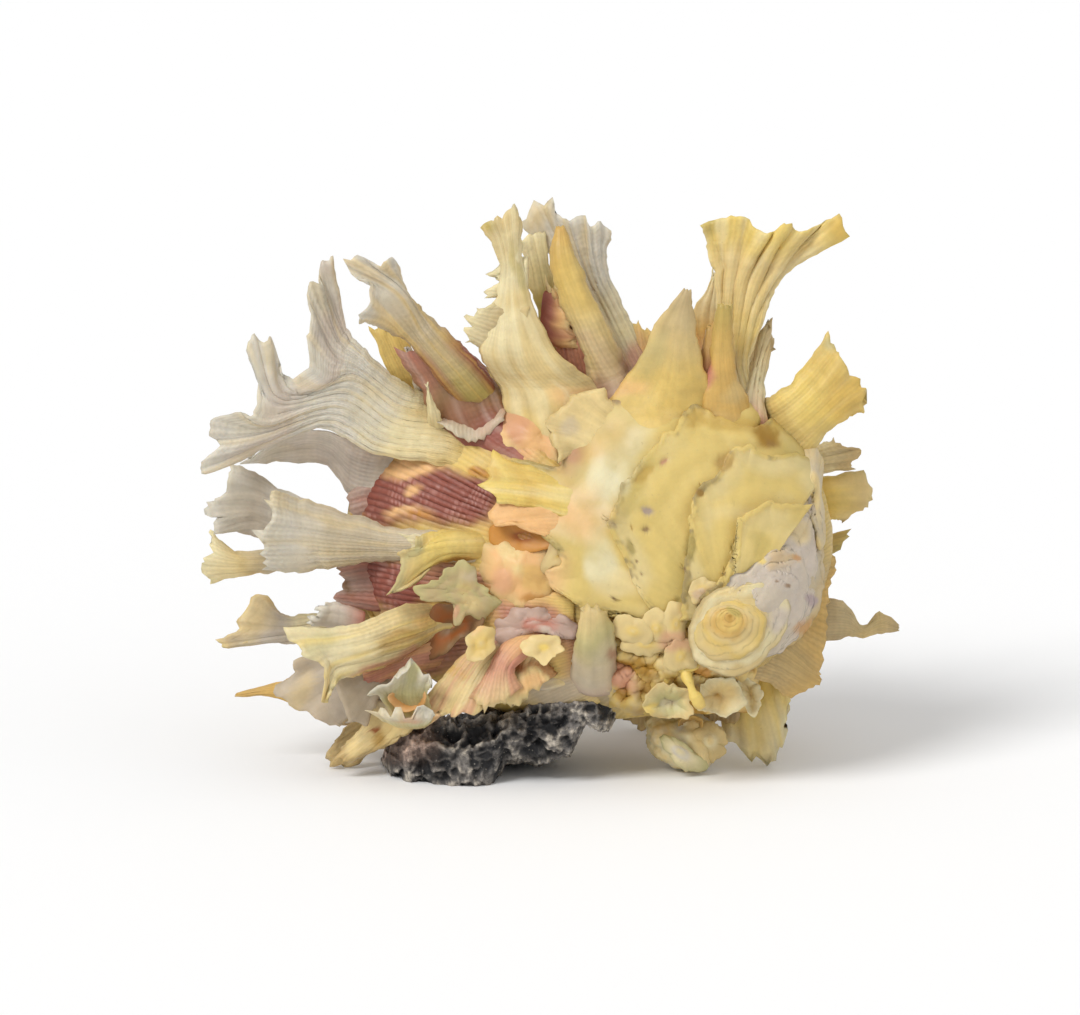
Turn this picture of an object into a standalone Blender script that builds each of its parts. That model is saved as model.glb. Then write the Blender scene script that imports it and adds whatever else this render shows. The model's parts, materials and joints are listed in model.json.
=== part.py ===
"""A spiny oyster shell, closed, standing on the piece of rock that it grew on.

Three solids: the upper valve, the lower valve and the rock. Each valve is a cup with its growth
tiers and its fronds joined to it.

Every point in this file is (across, up, out) in millimetres in the shell's own frame. Across runs
to the right, up runs up the valves, and out leaves the upper valve's face. The two valves meet in
the plane out = 0, and the whole frame leans back by LEAN.
"""

import math

import bmesh
import bpy
import numpy as np
from mathutils import Matrix, Vector, noise

MM = 0.001
LEAN = math.radians(12.0)
FLOOR_OUT = 12.0  # the floor crosses up = 0 at this distance out
VALVE_GAP = 0.3  # between the two valves' rims, and between the rock and the valves

# The outline of both valves is one ellipse. Each valve is half a ball stretched to that ellipse
# and leaned sideways, so that its highest point lies towards the umbo. A valve here is
# (the way that it bulges: 1 out or -1 back, its lean across and up, its height).
OUTLINE_CENTRE = (7.0, 62.0)
OUTLINE_RADII = (59.0, 46.0)
UPPER = (1, (22.0, -6.0), 28.0)
LOWER = (-1, (10.0, -4.0), 36.0)
WALL = 4.5

UMBO = (43.0, 42.0)
SINK = 1.5  # how deep a frond's root goes into the wall
CLEAR_OF_MEETING = 2.2  # every frond's middle surface keeps this far from the plane out = 0
FROND_THICK = 2.0
TIER_THICK = 3.6
TIER_LIFT = 2.2  # how far a tier's free edge stands off the tier below


def ball_height(across, up, valve):
    """How far a valve's face stands from the plane out = 0 at a point, and 0 outside it."""
    lean, height = valve[1:]
    p = (across - OUTLINE_CENTRE[0]) / OUTLINE_RADII[0]
    q = (up - OUTLINE_CENTRE[1]) / OUTLINE_RADII[1]
    s, t = lean[0] / OUTLINE_RADII[0], lean[1] / OUTLINE_RADII[1]
    full, half = 1 + s * s + t * t, p * s + q * t
    inside = np.maximum(half * half - full * (p * p + q * q - 1), 0.0)
    return height * np.maximum((half + np.sqrt(inside)) / full, 0.0)


def root(across, up, valve):
    """A point inside a valve's wall, for a frond to grow from."""
    height = float(ball_height(across, up, valve))
    return (across, up, valve[0] * max(height - SINK, CLEAR_OF_MEETING))


def face(across, up):
    return root(across, up, UPPER)


def back(across, up):
    return root(across, up, LOWER)


# ---------------------------------------------------------------- fronds
# A frond is a sheet lofted through rows of points, from its root in the valve to its ragged free
# edge. Each row runs the same way across the frond. The last row is the free edge's outline.
# Each entry is (the height of its arch, cells along it, cells across it, its rows).

UPPER_FRONDS = {
    "left_fan": (2.5, 4, 15, [
        [face(-27, 95), face(-25, 79)],
        [(-39, 102, 12), (-44, 80.5, 15)],
        [(-50.5, 115, 15), (-53, 116, 16), (-54.5, 114, 17), (-56, 112, 18), (-57, 109, 19),
         (-57.5, 103, 20), (-63, 98.5, 21), (-67.5, 97, 22), (-69, 96.5, 23), (-70.5, 95, 23),
         (-71.5, 93, 23), (-72, 91, 23), (-72.5, 89.5, 23), (-72.5, 87, 22), (-72, 85, 21),
         (-68, 84, 18)],
        [(-55, 130.5, 20), (-59, 126, 20), (-58, 122.5, 20), (-62, 124, 21), (-60.5, 112, 21),
         (-60, 104, 21), (-66, 100, 22), (-70, 111, 24), (-74.5, 110, 25), (-73, 99, 24),
         (-75, 94, 24), (-79, 93, 24), (-85, 90, 24), (-84, 83, 22), (-86.5, 77.5, 22),
         (-76, 80, 18)],
    ]),
    "left_fan_wall": (-1.0, 3, 2, [
        [face(-36, 84), face(-38, 73)],
        [(-51, 86, 9), (-52, 75, 5)],
        [(-62, 87, 12), (-62, 80.5, 8)],
        [(-74, 84, 15), (-75, 80, 12)],
    ]),
    "left_wall": (0.5, 3, 6, [
        [face(-41, 76), face(-44, 60), face(-40, 43)],
        [(-52, 75, 6), (-53, 62, 7), (-52, 59, 7), (-58, 51, 7), (-55, 44, 7)],
    ]),
    "left_bar": (3.0, 5, 8, [
        [face(-30, 64), face(-31, 54)],
        [(-50, 67.5, 13), (-50, 54.5, 12)],
        [(-64, 73, 15), (-64, 54.5, 13)],
        [(-74, 77, 17), (-73, 64, 15), (-72, 54, 14)],
        [(-80, 79, 19), (-82, 76, 19), (-80, 73.5, 18), (-85.5, 70, 19), (-84, 67, 18),
         (-85, 62.5, 17), (-85, 58, 16), (-87.5, 54.5, 16), (-86, 49.5, 15)],
    ]),
    "club": (4.0, 5, 6, [
        [face(-17, 92), face(-11, 96)],
        [(-29, 98, 17), (-19.5, 102.5, 17)],
        [(-38, 110, 22), (-31, 115.5, 22)],
        [(-45, 115, 24), (-44, 119, 25), (-44, 123.5, 26), (-43, 126, 26), (-41.5, 126, 26),
         (-40, 126.5, 25), (-38, 125, 24)],
        [(-48.5, 116, 25), (-46, 121, 25), (-49, 126, 26), (-51, 131.5, 27), (-44, 129, 26),
         (-41.5, 131.5, 26), (-38.5, 128, 25)],
    ]),
    "club_shadow": (1.5, 3, 3, [
        [face(-34, 96), face(-24, 96)],
        [(-40.5, 103, 9), (-33, 104, 8)],
        [(-47, 115, 10), (-42, 114, 9)],
    ]),
    "blade": (4.0, 6, 6, [
        [face(-7, 86), face(14, 90)],
        [(-14, 98, 18), (12, 99, 22)],
        [(-20, 109, 20), (4, 107, 22)],
        [(-15, 120.5, 22), (-4, 120, 23)],
        [(-13, 130, 23), (-7, 130, 24)],
        [(-18.5, 139, 25), (-13.5, 141.5, 25), (-9, 142, 25), (-7, 137, 25)],
    ]),
    "blade_lobe": (0.5, 3, 3, [
        [(-9, 108, 20), (-7, 119, 22)],
        [(-19, 110, 20), (-15, 119, 22)],
        [(-24.5, 111, 20), (-21.5, 117.5, 21)],
    ]),
    "pale_column": (3.0, 4, 6, [
        [face(15, 101), face(22, 102)],
        [(8, 116, 6), (18, 117, 6)],
        [(3, 128, 7), (13.5, 128, 7)],
        [(-9, 142, 9), (-4, 143.5, 9), (-1, 144.5, 9), (3, 141, 9), (7.5, 142, 9),
         (9.5, 139, 9), (13.5, 138, 9)],
    ]),
    "column_foot": (0.5, 2, 2, [
        [face(14, 101), face(28, 102)],
        [(17, 114.5, 5), (20, 114, 5), (24, 115, 5)],
    ]),
    "gutter_ridge": (3.5, 5, 4, [
        [face(9, 99), face(18, 101)],
        [(7, 110, 18), (15, 112, 18)],
        [(3, 121, 19), (9, 123, 19)],
        [(0.5, 130, 19), (4.5, 131, 19)],
        [(0.3, 138, 19), (3, 138, 19)],
    ]),
    "gutter_wing": (-1.0, 3, 3, [
        [face(4, 102), face(13, 101)],
        [(-1, 112, 12), (10, 110, 16)],
        [(-3, 117, 12), (6, 118, 17)],
        [(-2, 125.5, 12), (0, 125, 14)],
    ]),
    "gutter_back": (0.5, 4, 2, [
        [face(-1, 102), face(6, 103)],
        [(-5, 118, 9), (2, 117, 9)],
        [(-9, 136, 11), (-2, 138, 11)],
    ]),
    "thorn": (3.0, 4, 4, [
        [face(17, 98), face(38, 98)],
        [(22, 107, 22), (36.5, 107, 22)],
        [(26.5, 116, 25), (35, 115, 25)],
        [(32, 123, 27), (34.5, 122.5, 27)],
    ]),
    "short_tube": (2.2, 4, 4, [
        [face(41, 93), face(47, 93)],
        [(40, 105, 20), (46, 104, 20)],
        [(39.5, 119, 22), (44.5, 119.5, 22)],
    ]),
    "right_fan": (3.5, 5, 9, [
        [face(43, 94), face(50, 94)],
        [(42, 105, 10), (47.5, 105, 10)],
        [(40.5, 114, 11), (51, 114, 11)],
        [(40, 125, 12), (57, 125, 12)],
        [(36, 139, 14), (39, 140.5, 14), (45, 142, 14), (49, 140, 14), (53, 136.5, 14),
         (58, 140, 14), (60, 138, 14), (65, 138.5, 14), (71, 142, 15), (73.5, 136, 15)],
    ]),
    "right_fan_wing": (-1.0, 3, 3, [
        [face(38, 98), face(44, 98)],
        [(36, 108, 6), (43, 107, 8)],
        [(34.5, 117, 6), (43, 116, 9)],
        [(38, 123, 8), (42, 126, 10)],
    ]),
    "right_leaf": (3.0, 4, 5, [
        [face(49, 91), face(58, 79)],
        [(54.5, 98, 13), (68, 86.5, 12)],
        [(62, 103, 14), (73, 91.5, 13)],
        [(68, 113, 16), (70, 109, 16), (72, 107, 16), (76.5, 102, 15), (77.5, 98, 15),
         (77, 92.5, 14)],
    ]),
    "hook": (3.5, 4, 5, [
        [face(-8, 66), face(-10, 55)],
        [(-22, 63.5, 20), (-20, 56, 20)],
        [(-31, 62.5, 23), (-28, 54.5, 23)],
        [(-37, 63, 25), (-35, 59.5, 25), (-39, 58, 26), (-37, 54, 26), (-42, 47, 27),
         (-33, 51, 25)],
    ]),
    "green_leaf": (2.0, 4, 6, [
        [face(-16, 47), face(-22, 41)],
        [(-20, 54, 24), (-26, 44, 24)],
        [(-23, 55, 29), (-28, 53.5, 31), (-33.5, 51, 32), (-33, 48, 32), (-28, 45.5, 29)],
    ]),
    "lower_bar": (4.0, 3, 5, [
        [face(-24, 48), face(-27, 38)],
        [(-37, 45, 18), (-37, 34, 16)],
        [(-49, 40.5, 21), (-48, 29, 18)],
        [(-60, 38, 23), (-53, 27, 20)],
        [(-66, 39, 25), (-63.5, 36, 25), (-61.5, 31, 25), (-60, 23, 24), (-55.5, 20.5, 23),
         (-52, 23, 21)],
    ]),
    "lower_veil": (1.5, 3, 4, [
        [face(-38, 38), face(-33, 31)],
        [(-53, 32, 8), (-45, 20, 10)],
        [(-66, 32, 8), (-62, 27, 8), (-58, 18, 9), (-52, 14.5, 10)],
    ]),
    "open_spout": (4.0, 4, 6, [
        [face(-36, 37), face(-29, 40), face(-21, 34)],
        [(-44, 20, 18), (-37, 27, 20), (-29, 21, 19)],
        [(-46, 19, 28), (-43, 29, 29), (-37, 30.5, 30), (-31, 24, 29), (-31, 16.5, 28)],
    ]),
    "spout_floor": (1.0, 3, 3, [
        [face(-36, 37), face(-25, 33)],
        [(-47, 22, 10), (-33, 22, 13)],
        [(-49, 8, 4), (-44, 9, 5), (-40, 13.5, 7), (-34, 18, 11)],
    ]),
    "pink_skirt": (2.0, 3, 6, [
        [face(-24, 40), face(2, 38)],
        [(-28, 30, 19), (0, 31, 22)],
        [(-33, 18, 18), (-28, 16.5, 19), (-24, 18, 20), (-18, 17, 20), (-12, 20, 21),
         (-6, 23, 21), (0, 26, 22)],
    ]),
    "near_tube": (2.5, 4, 4, [
        [face(-1, 29), face(17, 29)],
        [(5, 31, 28), (14, 31, 27)],
        [(6.5, 42, 35), (13, 42, 35)],
    ]),
    "hinge_ear": (2.0, 3, 4, [
        [face(52, 62), face(36, 28)],
        [(65, 46, 10), (52, 26, 8)],
        [(66.5, 38, 7), (65, 30, 6), (67.5, 25, 6), (64, 24.5, 6), (60, 22, 6)],
    ]),
    "hinge_frill": (2.0, 3, 7, [
        [face(16, 38), face(44, 31)],
        [(18, 30, 22), (44, 27, 19)],
        [(20, 23, 21), (27, 19, 21), (33, 20, 21), (40, 18, 19), (48, 20, 16), (52, 23, 14)],
    ]),
}

LOWER_FRONDS = {
    "behind_right_fan": (1.0, 4, 3, [
        [back(43, 93), back(49, 91)],
        [(46, 103, -6), (50.5, 103, -6)],
        [(50.5, 113, -6), (53.5, 112.5, -6), (55, 108.5, -6)],
    ]),
    "right_spur": (1.5, 4, 5, [
        [back(56, 84), back(57, 75)],
        [(67, 84.5, -5), (68, 77, -5)],
        [(70, 86.5, -5), (72, 84, -5), (77.5, 83.5, -6), (76, 78, -6)],
    ]),
    "right_paddle": (2.0, 4, 5, [
        [back(56, 76), back(60, 62)],
        [(69, 77.5, -7), (70, 65, -7)],
        [(78.5, 78, -9), (80, 73, -9), (78, 69.5, -9), (73, 65, -9)],
    ]),
    "right_notch": (1.0, 4, 4, [
        [back(58, 62), back(58, 46)],
        [(68, 62, -5), (67, 48, -5)],
        [(74.5, 63, -6), (73, 59, -6), (70.5, 56, -6), (71.5, 53, -6), (69.5, 48, -6)],
    ]),
    "right_spike": (1.0, 5, 3, [
        [back(56, 48), back(56, 36)],
        [(67, 46, -6), (67, 35.5, -6)],
        [(75, 44, -8), (74, 35.5, -8)],
        [(79, 40, -9), (78, 35.5, -9)],
        [(83, 43, -10), (82, 36.5, -10)],
        [(88, 39.5, -10), (88, 37, -10)],
    ]),
    "foot_fan": (2.0, 3, 6, [
        [back(42, 32), back(54, 40)],
        [(41.5, 20, -7), (59.5, 24, -6)],
        [(41, 8, -5), (46, 6, -5), (51.5, 5, -5), (57, 7, -5), (59, 13, -5), (61, 20, -5)],
    ]),
    "far_left_fork": (1.5, 3, 5, [
        [back(-43, 50), back(-40, 38)],
        [(-57, 44, -5), (-57, 36, -5)],
        [(-67, 43, -6), (-66, 34.5, -6)],
        [(-72, 47.5, -7), (-76, 47, -7), (-78, 40, -7), (-84.5, 36.5, -7), (-83, 34, -7),
         (-73, 34.5, -7)],
    ]),
    "left_spike": (1.5, 4, 3, [
        [back(-36, 36), back(-31, 28)],
        [(-54, 28, -6), (-53, 13, -6)],
        [(-64, 29, -7), (-60, 15.5, -7)],
        [(-68, 26, -8), (-69, 19.5, -8)],
        [(-81.5, 23, -9), (-81.5, 20.5, -9)],
    ]),
    "cream_frill": (1.5, 3, 6, [
        [back(16, 34), back(46, 34)],
        [(16, 22, -4), (47, 24, -4)],
        [(16, 17, -3), (21, 13, -3), (27, 15, -3), (33, 12, -3), (39, 14, -3), (46, 16, -3)],
    ]),
    "prop": (2.0, 4, 4, [
        [back(20, 44), back(38, 44)],
        [(21, 26, -42), (37, 26, -42)],
        [(24, 8, -47), (36, 8, -47)],
    ]),
    "low_left_stub": (1.0, 4, 3, [
        [back(-36, 36), back(-33, 31)],
        [(-46, 19, -5), (-42, 13, -5)],
        [(-54, 12.5, -4), (-57, 8.5, -4), (-55.5, 4.5, -4), (-49, 4.5, -4)],
    ]),
}

# Fronds of the lower valve's hidden face: (turn round the outline in degrees, length). Each
# row of one is (its reach from the outline's centre, its share of the length, half its width).
BACK_FRONDS = [(12, 21), (38, 24), (64, 22), (90, 25), (116, 22), (142, 24), (168, 22), (196, 20)]
BACK_FROND_ROWS = [(0.66, 0, 4.0), (0.78, 0.55, 4.2), (0.88, 1.0, 2.8)]
BACK_ARCH = 2.5

# The free edges of the growth tiers, from the umbo's right over the top and down its left side.
TIERS = {
    "tier_1": (5.0, [(64, 70), (58, 70), (51, 69.5), (48, 68), (45, 65), (44.5, 61), (44, 57),
                     (42, 53.5), (39, 50), (35, 47)]),
    "tier_2": (3.4, [(66, 78), (63, 82.5), (56, 82.5), (49, 84), (44, 84), (40, 79), (37, 74.5),
                     (33.5, 69), (33, 60.5), (32, 54), (30.5, 47), (31, 41)]),
    "tier_3": (1.8, [(63, 87), (60, 92), (50, 93), (41, 92), (35, 95.5), (31, 91), (26.5, 85.5),
                     (20, 79), (15.5, 73), (13.5, 65), (18, 60), (20, 55), (22, 49), (26, 40)]),
    "tier_4": (0.4, [(52, 95), (44, 97), (36, 101), (26, 102), (13, 97.5), (8, 94), (3.5, 96),
                     (-3, 90.5), (1.5, 84), (1, 79), (-7, 80), (-15, 83), (-15.5, 78),
                     (-19.5, 73.5), (-15, 70.5), (-17, 65), (-8, 60.5), (-3, 57.5), (-3, 53),
                     (2, 47), (8, 42.5), (18, 41), (26, 37)]),
}
# Lumps: (centre, radii, turn in degrees in the plane out = 0, roughness, subdivisions).
UMBO_CAP = (43, 39, 30), (10, 9.5, 5.5), 0, 0, 2
UMBO_CRUST = (51, 44, 27), (14, 9, 5.5), 0, 0, 2
FOOT_LOBE = (31, 10, -2), (9, 9, 9), 0, 0, 2
ROCK = (-18, 9, -9), (26, 9.5, 25), 14, 3, 3
ROCK_END = (6, 18.5, 9), (12, 7, 13), 12, 2, 2


# ---------------------------------------------------------------- surfaces
def on_row(row, share):
    """Points at shares 0 to 1 of a row, each stretch between two of its points counted alike."""
    row = np.array(row, float)
    stops = np.linspace(0, 1, len(row))
    return np.stack([np.interp(share, stops, row[:, k]) for k in range(3)], axis=1)


def loft(rows, along, across):
    """Points of the smooth surface through rows, at shares along it and across it."""
    knots = np.stack([on_row(row, across) for row in rows])
    steps = np.linalg.norm(np.diff(knots, axis=0), axis=2).mean(axis=1)
    stops = np.concatenate([[0], np.cumsum(steps)]) / steps.sum()
    slopes = np.gradient(knots, stops, axis=0)
    first = np.clip(np.searchsorted(stops, along, side="right") - 1, 0, len(rows) - 2)
    pick = np.arange(len(along))
    span = (stops[first + 1] - stops[first])[:, None]
    t = (along - stops[first])[:, None] / span
    start, end = knots[first, pick], knots[first + 1, pick]
    leave, arrive = slopes[first, pick] * span, slopes[first + 1, pick] * span
    return (
        start * (1 + 2 * t) * (1 - t) ** 2
        + leave * t * (1 - t) ** 2
        + end * t * t * (3 - 2 * t)
        + arrive * t * t * (t - 1)
    )


def facing(rows, along):
    """Unit normals of the loft from its middle line and its two sides, turned to its out side."""
    left, right = np.zeros_like(along), np.ones_like(along)
    ahead = loft(rows, np.minimum(along + 0.02, 1), right / 2)
    behind = loft(rows, np.maximum(along - 0.02, 0), right / 2)
    normals = np.cross(ahead - behind, loft(rows, along, right) - loft(rows, along, left))
    normals /= np.linalg.norm(normals, axis=1)[:, None]
    return normals if normals[:, 2].mean() > 0 else -normals


def to_object(points):
    """(across, up, out) in millimetres as Blender's local x, y, z in metres."""
    points = np.asarray(points, float)
    return np.stack([points[:, 0], -points[:, 2], points[:, 1]], axis=1) * MM


def move_vertices(mesh, points):
    for vertex, point in zip(mesh.verts, to_object(points)):
        vertex.co = point


def add_object(name, mesh, collection, material=None):
    data = bpy.data.meshes.new(name)
    mesh.to_mesh(data)
    mesh.free()
    made = bpy.data.objects.new(name, data)
    collection.objects.link(made)
    if material:
        data.materials.append(material)
    return made


def make_frond(name, arch, along_cells, across_cells, rows, collection):
    """A grid laid on the loft, arched across its width, and given a wall."""
    grid = bmesh.new()
    bmesh.ops.create_grid(grid, x_segments=across_cells, y_segments=along_cells, size=0.5)
    flat = np.array([vertex.co for vertex in grid.verts])
    across, along = flat[:, 0] + 0.5, flat[:, 1] + 0.5
    left, right = loft(rows, along, np.zeros_like(along)), loft(rows, along, np.ones_like(along))
    width = np.linalg.norm(right - left, axis=1)
    rise = arch * np.sin(np.pi * across) * width / width.max()
    move_vertices(grid, loft(rows, along, across) + facing(rows, along) * rise[:, None])
    frond = add_object(name, grid, collection)
    wall = frond.modifiers.new("Solidify", "SOLIDIFY")
    wall.thickness = FROND_THICK * MM
    wall.offset = 0
    return frond


def make_tier(name, level, outline, collection):
    """A slab from the umbo to its scalloped free edge, its underside buried in the valve's wall."""
    grid = bmesh.new()
    bmesh.ops.create_grid(grid, x_segments=len(outline) - 1, y_segments=3, size=0.5)
    flat = np.array([vertex.co for vertex in grid.verts])
    reach = 0.3 + 0.7 * (flat[:, 1] + 0.5)
    edge = on_row([(across, up, 0) for across, up in outline], flat[:, 0] + 0.5)
    across = UMBO[0] + (edge[:, 0] - UMBO[0]) * reach
    up = UMBO[1] + (edge[:, 1] - UMBO[1]) * reach
    out = ball_height(across, up, UPPER) + level + TIER_LIFT * reach**4
    move_vertices(grid, np.stack([across, up, out], axis=1))
    under = bmesh.ops.extrude_face_region(grid, geom=grid.faces[:])
    moved = [item for item in under["geom"] if isinstance(item, bmesh.types.BMVert)]
    bmesh.ops.translate(grid, verts=moved, vec=(0, TIER_THICK * MM, 0))
    return add_object(name, grid, collection)


def make_half_ball(name, valve, inset, rim_out, rings, collection, material=None):
    """A valve as a solid, shrunk by inset. Its flat rim is pushed to rim_out on its own side."""
    side, lean, height = valve
    ball = bmesh.new()
    bmesh.ops.create_uvsphere(ball, u_segments=2 * rings, v_segments=rings, radius=1)
    below = [vertex for vertex in ball.verts if vertex.co.z < -0.01]
    bmesh.ops.delete(ball, geom=below, context="VERTS")
    bmesh.ops.holes_fill(ball, edges=ball.edges, sides=0)
    unit = np.array([vertex.co for vertex in ball.verts])
    depth = height - inset
    shift = depth / height * unit[:, 2]
    across = OUTLINE_CENTRE[0] + (OUTLINE_RADII[0] - inset) * unit[:, 0] + lean[0] * shift
    up = OUTLINE_CENTRE[1] + (OUTLINE_RADII[1] - inset) * unit[:, 1] + lean[1] * shift
    out = np.where(unit[:, 2] < 0.01, rim_out, depth * unit[:, 2])
    move_vertices(ball, np.stack([across, up, side * out], axis=1))
    if side < 0:
        bmesh.ops.reverse_faces(ball, faces=ball.faces)
    return add_object(name, ball, collection, material)


def make_lump(name, lump, collection, material=None):
    """An egg-shaped lump, roughened by noise."""
    centre, radii, turn, roughness, subdivisions = lump
    ball = bmesh.new()
    bmesh.ops.create_icosphere(ball, subdivisions=subdivisions, radius=1)
    turned = Matrix.Rotation(math.radians(turn), 3, "Z")
    points = []
    for vertex in ball.verts:
        away = turned @ Vector(a * b for a, b in zip(vertex.co, radii))
        point = Vector(centre) + away
        bump = noise.fractal(point * 0.09, 1.0, 2.0, 3) * roughness
        points.append(point + away.normalized() * bump)
    move_vertices(ball, points)
    return add_object(name, ball, collection, material)


def back_frond_rows(turn, length):
    """A frond on the lower valve's hidden face, growing back and away from its middle."""
    way = np.array([math.cos(math.radians(turn)), math.sin(math.radians(turn))])
    aside = np.array([-way[1], way[0]])
    at_root = np.array(OUTLINE_CENTRE) + np.array(OUTLINE_RADII) * way * BACK_FROND_ROWS[0][0]
    out = back(*at_root)[2]
    rows = []
    for reach, share, half_width in BACK_FROND_ROWS:
        middle = np.array(OUTLINE_CENTRE) + np.array(OUTLINE_RADII) * way * reach
        sides = middle - aside * half_width, middle + aside * half_width
        rows.append([(*side, out - share * length) for side in sides])
    return rows


# ---------------------------------------------------------------- building
def new_collection(name, parent):
    made = bpy.data.collections.new(name)
    parent.children.link(made)
    return made


def new_material(name, colour, roughness):
    made = bpy.data.materials.new(name)
    made.use_nodes = True
    shader = made.node_tree.nodes["Principled BSDF"]
    shader.inputs["Base Color"].default_value = (*colour, 1)
    shader.inputs["Roughness"].default_value = roughness
    shader.inputs["Metallic"].default_value = 0
    return made


def combine(target, operation, collection=None, cutter=None):
    modifier = target.modifiers.new(operation.title(), "BOOLEAN")
    modifier.operation = operation
    modifier.solver = "EXACT"
    modifier.use_self = True
    modifier.operand_type = "COLLECTION" if collection else "OBJECT"
    modifier.collection = collection
    modifier.object = cutter


def make_floor(collection):
    """Everything below the floor, as a block in the world's own directions."""
    block = bmesh.new()
    bmesh.ops.create_cube(block, size=0.5)
    bmesh.ops.translate(block, verts=block.verts, vec=(0, 0, -0.25))
    return add_object("below_floor", block, collection)


def make_upper_valve(shell, tools):
    growth = new_collection("upper_growth", tools)
    for name, frond in UPPER_FRONDS.items():
        make_frond(name, *frond, growth)
    for name, (level, outline) in TIERS.items():
        make_tier(name, level, outline, growth)
    make_lump("umbo_cap", UMBO_CAP, growth)
    make_lump("umbo_crust", UMBO_CRUST, growth)
    colour = new_material("upper_shell", (0.62, 0.47, 0.21), 0.55)
    valve = make_half_ball("upper_valve", UPPER, 0, VALVE_GAP / 2, 14, shell, colour)
    combine(valve, "UNION", collection=growth)
    combine(valve, "DIFFERENCE", cutter=make_half_ball("upper_room", UPPER, WALL, -3, 10, tools))


def make_lower_valve(shell, tools, floor):
    growth = new_collection("lower_growth", tools)
    for name, frond in LOWER_FRONDS.items():
        make_frond(name, *frond, growth)
    for number, (turn, length) in enumerate(BACK_FRONDS):
        make_frond(f"back_{number}", BACK_ARCH, 3, 3, back_frond_rows(turn, length), growth)
    make_lump("foot_lobe", FOOT_LOBE, growth)
    colour = new_material("lower_shell", (0.60, 0.49, 0.29), 0.6)
    valve = make_half_ball("lower_valve", LOWER, 0, VALVE_GAP / 2, 14, shell, colour)
    combine(valve, "UNION", collection=growth)
    combine(valve, "DIFFERENCE", cutter=make_half_ball("lower_room", LOWER, WALL, -3, 10, tools))
    combine(valve, "DIFFERENCE", cutter=floor)


def make_rock(shell, tools, floor):
    """Two joined lumps, hollowed where the valves sit on them and cut flat at the floor."""
    room = new_collection("rock_room", tools)
    make_half_ball("room_for_upper", UPPER, -VALVE_GAP, -1, 14, room)
    make_half_ball("room_for_lower", LOWER, -VALVE_GAP, -1, 14, room)
    rock = make_lump("rock", ROCK, shell, new_material("dark_rock", (0.11, 0.095, 0.08), 0.9))
    combine(rock, "UNION", cutter=make_lump("rock_end", ROCK_END, tools))
    combine(rock, "DIFFERENCE", collection=room)
    combine(rock, "DIFFERENCE", cutter=floor)


def extent(shell):
    """The least and greatest corners of the finished solids."""
    graph = bpy.context.evaluated_depsgraph_get()
    points = []
    for made in shell.objects:
        solid = made.evaluated_get(graph)
        points += [solid.matrix_world @ vertex.co for vertex in solid.data.vertices]
    points = np.array(points)
    return Vector(points.min(axis=0)), Vector(points.max(axis=0))


def place(shell, leaning):
    """Lean the shell's frame, stand it on the floor, and centre the whole over the origin."""
    lean = Matrix.Rotation(-LEAN, 4, "X")
    drop = -FLOOR_OUT * math.sin(LEAN) * MM
    for made in leaning:
        made.matrix_world = Matrix.Translation((0, 0, drop)) @ lean
    low, high = extent(shell)
    middle = (low + high) / 2
    for made in leaning:
        made.matrix_world = Matrix.Translation((-middle.x, -middle.y, drop)) @ lean


def build():
    for leftover in list(bpy.data.objects):
        bpy.data.objects.remove(leftover)
    shell = new_collection("spiny_oyster_shell", bpy.context.scene.collection)
    tools = new_collection("tools", bpy.context.scene.collection)
    floor = make_floor(tools)
    make_upper_valve(shell, tools)
    make_lower_valve(shell, tools, floor)
    make_rock(shell, tools, floor)
    for made in tools.all_objects:
        made.hide_render = True
        made.display_type = "WIRE"
    place(shell, [made for made in bpy.data.objects if made != floor])


build()
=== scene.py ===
# %% [markdown]
# # Spiny oyster shell
#
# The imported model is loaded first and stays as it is. Every piece here is laid over it in the
# same frame. Points are written as (across, up, out) in millimetres in the shell's own frame:
# across to the right, up along the valves, out away from the upper valve's face. The two valves
# meet in the plane out = 0, and that frame leans back by 12 degrees.

# %% Load the frame
import json
import math
import zlib

import bpy
import numpy as np
from mathutils import Matrix, Vector


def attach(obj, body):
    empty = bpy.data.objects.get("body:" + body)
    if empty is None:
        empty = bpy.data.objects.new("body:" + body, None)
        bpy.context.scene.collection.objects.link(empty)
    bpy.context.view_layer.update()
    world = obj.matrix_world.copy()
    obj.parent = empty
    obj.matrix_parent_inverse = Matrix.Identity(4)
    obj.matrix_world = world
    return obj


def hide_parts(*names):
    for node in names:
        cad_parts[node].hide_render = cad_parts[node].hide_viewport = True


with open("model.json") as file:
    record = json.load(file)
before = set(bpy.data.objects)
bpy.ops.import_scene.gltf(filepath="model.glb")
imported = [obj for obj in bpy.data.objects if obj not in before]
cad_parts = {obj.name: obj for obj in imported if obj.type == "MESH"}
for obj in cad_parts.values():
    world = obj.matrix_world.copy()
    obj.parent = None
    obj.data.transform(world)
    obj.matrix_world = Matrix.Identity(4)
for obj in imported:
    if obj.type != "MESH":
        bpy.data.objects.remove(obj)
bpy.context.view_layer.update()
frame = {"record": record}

# %% [markdown]
# The record's one mount is a point on the rock's flat underside. Its place in the shell's own
# frame is known, so it fixes where that frame lies in the model.

# %% Place the shell's own frame
MM = 0.001
LEAN = math.radians(12.0)
FLOOR_OUT = 12.0
FOOT_OUT = -10.0
FOOT = Vector((-22.0, -FOOT_OUT, (FLOOR_OUT - FOOT_OUT) * math.tan(LEAN))) * MM
ROTATION = Matrix.Rotation(-LEAN, 3, "X")
MOUNT = Vector(frame["record"]["mounts"][0]["pos_m"])
ORIGIN = MOUNT - ROTATION @ FOOT
print("shell frame's origin in mm:", [round(1000 * x, 2) for x in ORIGIN])


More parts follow.
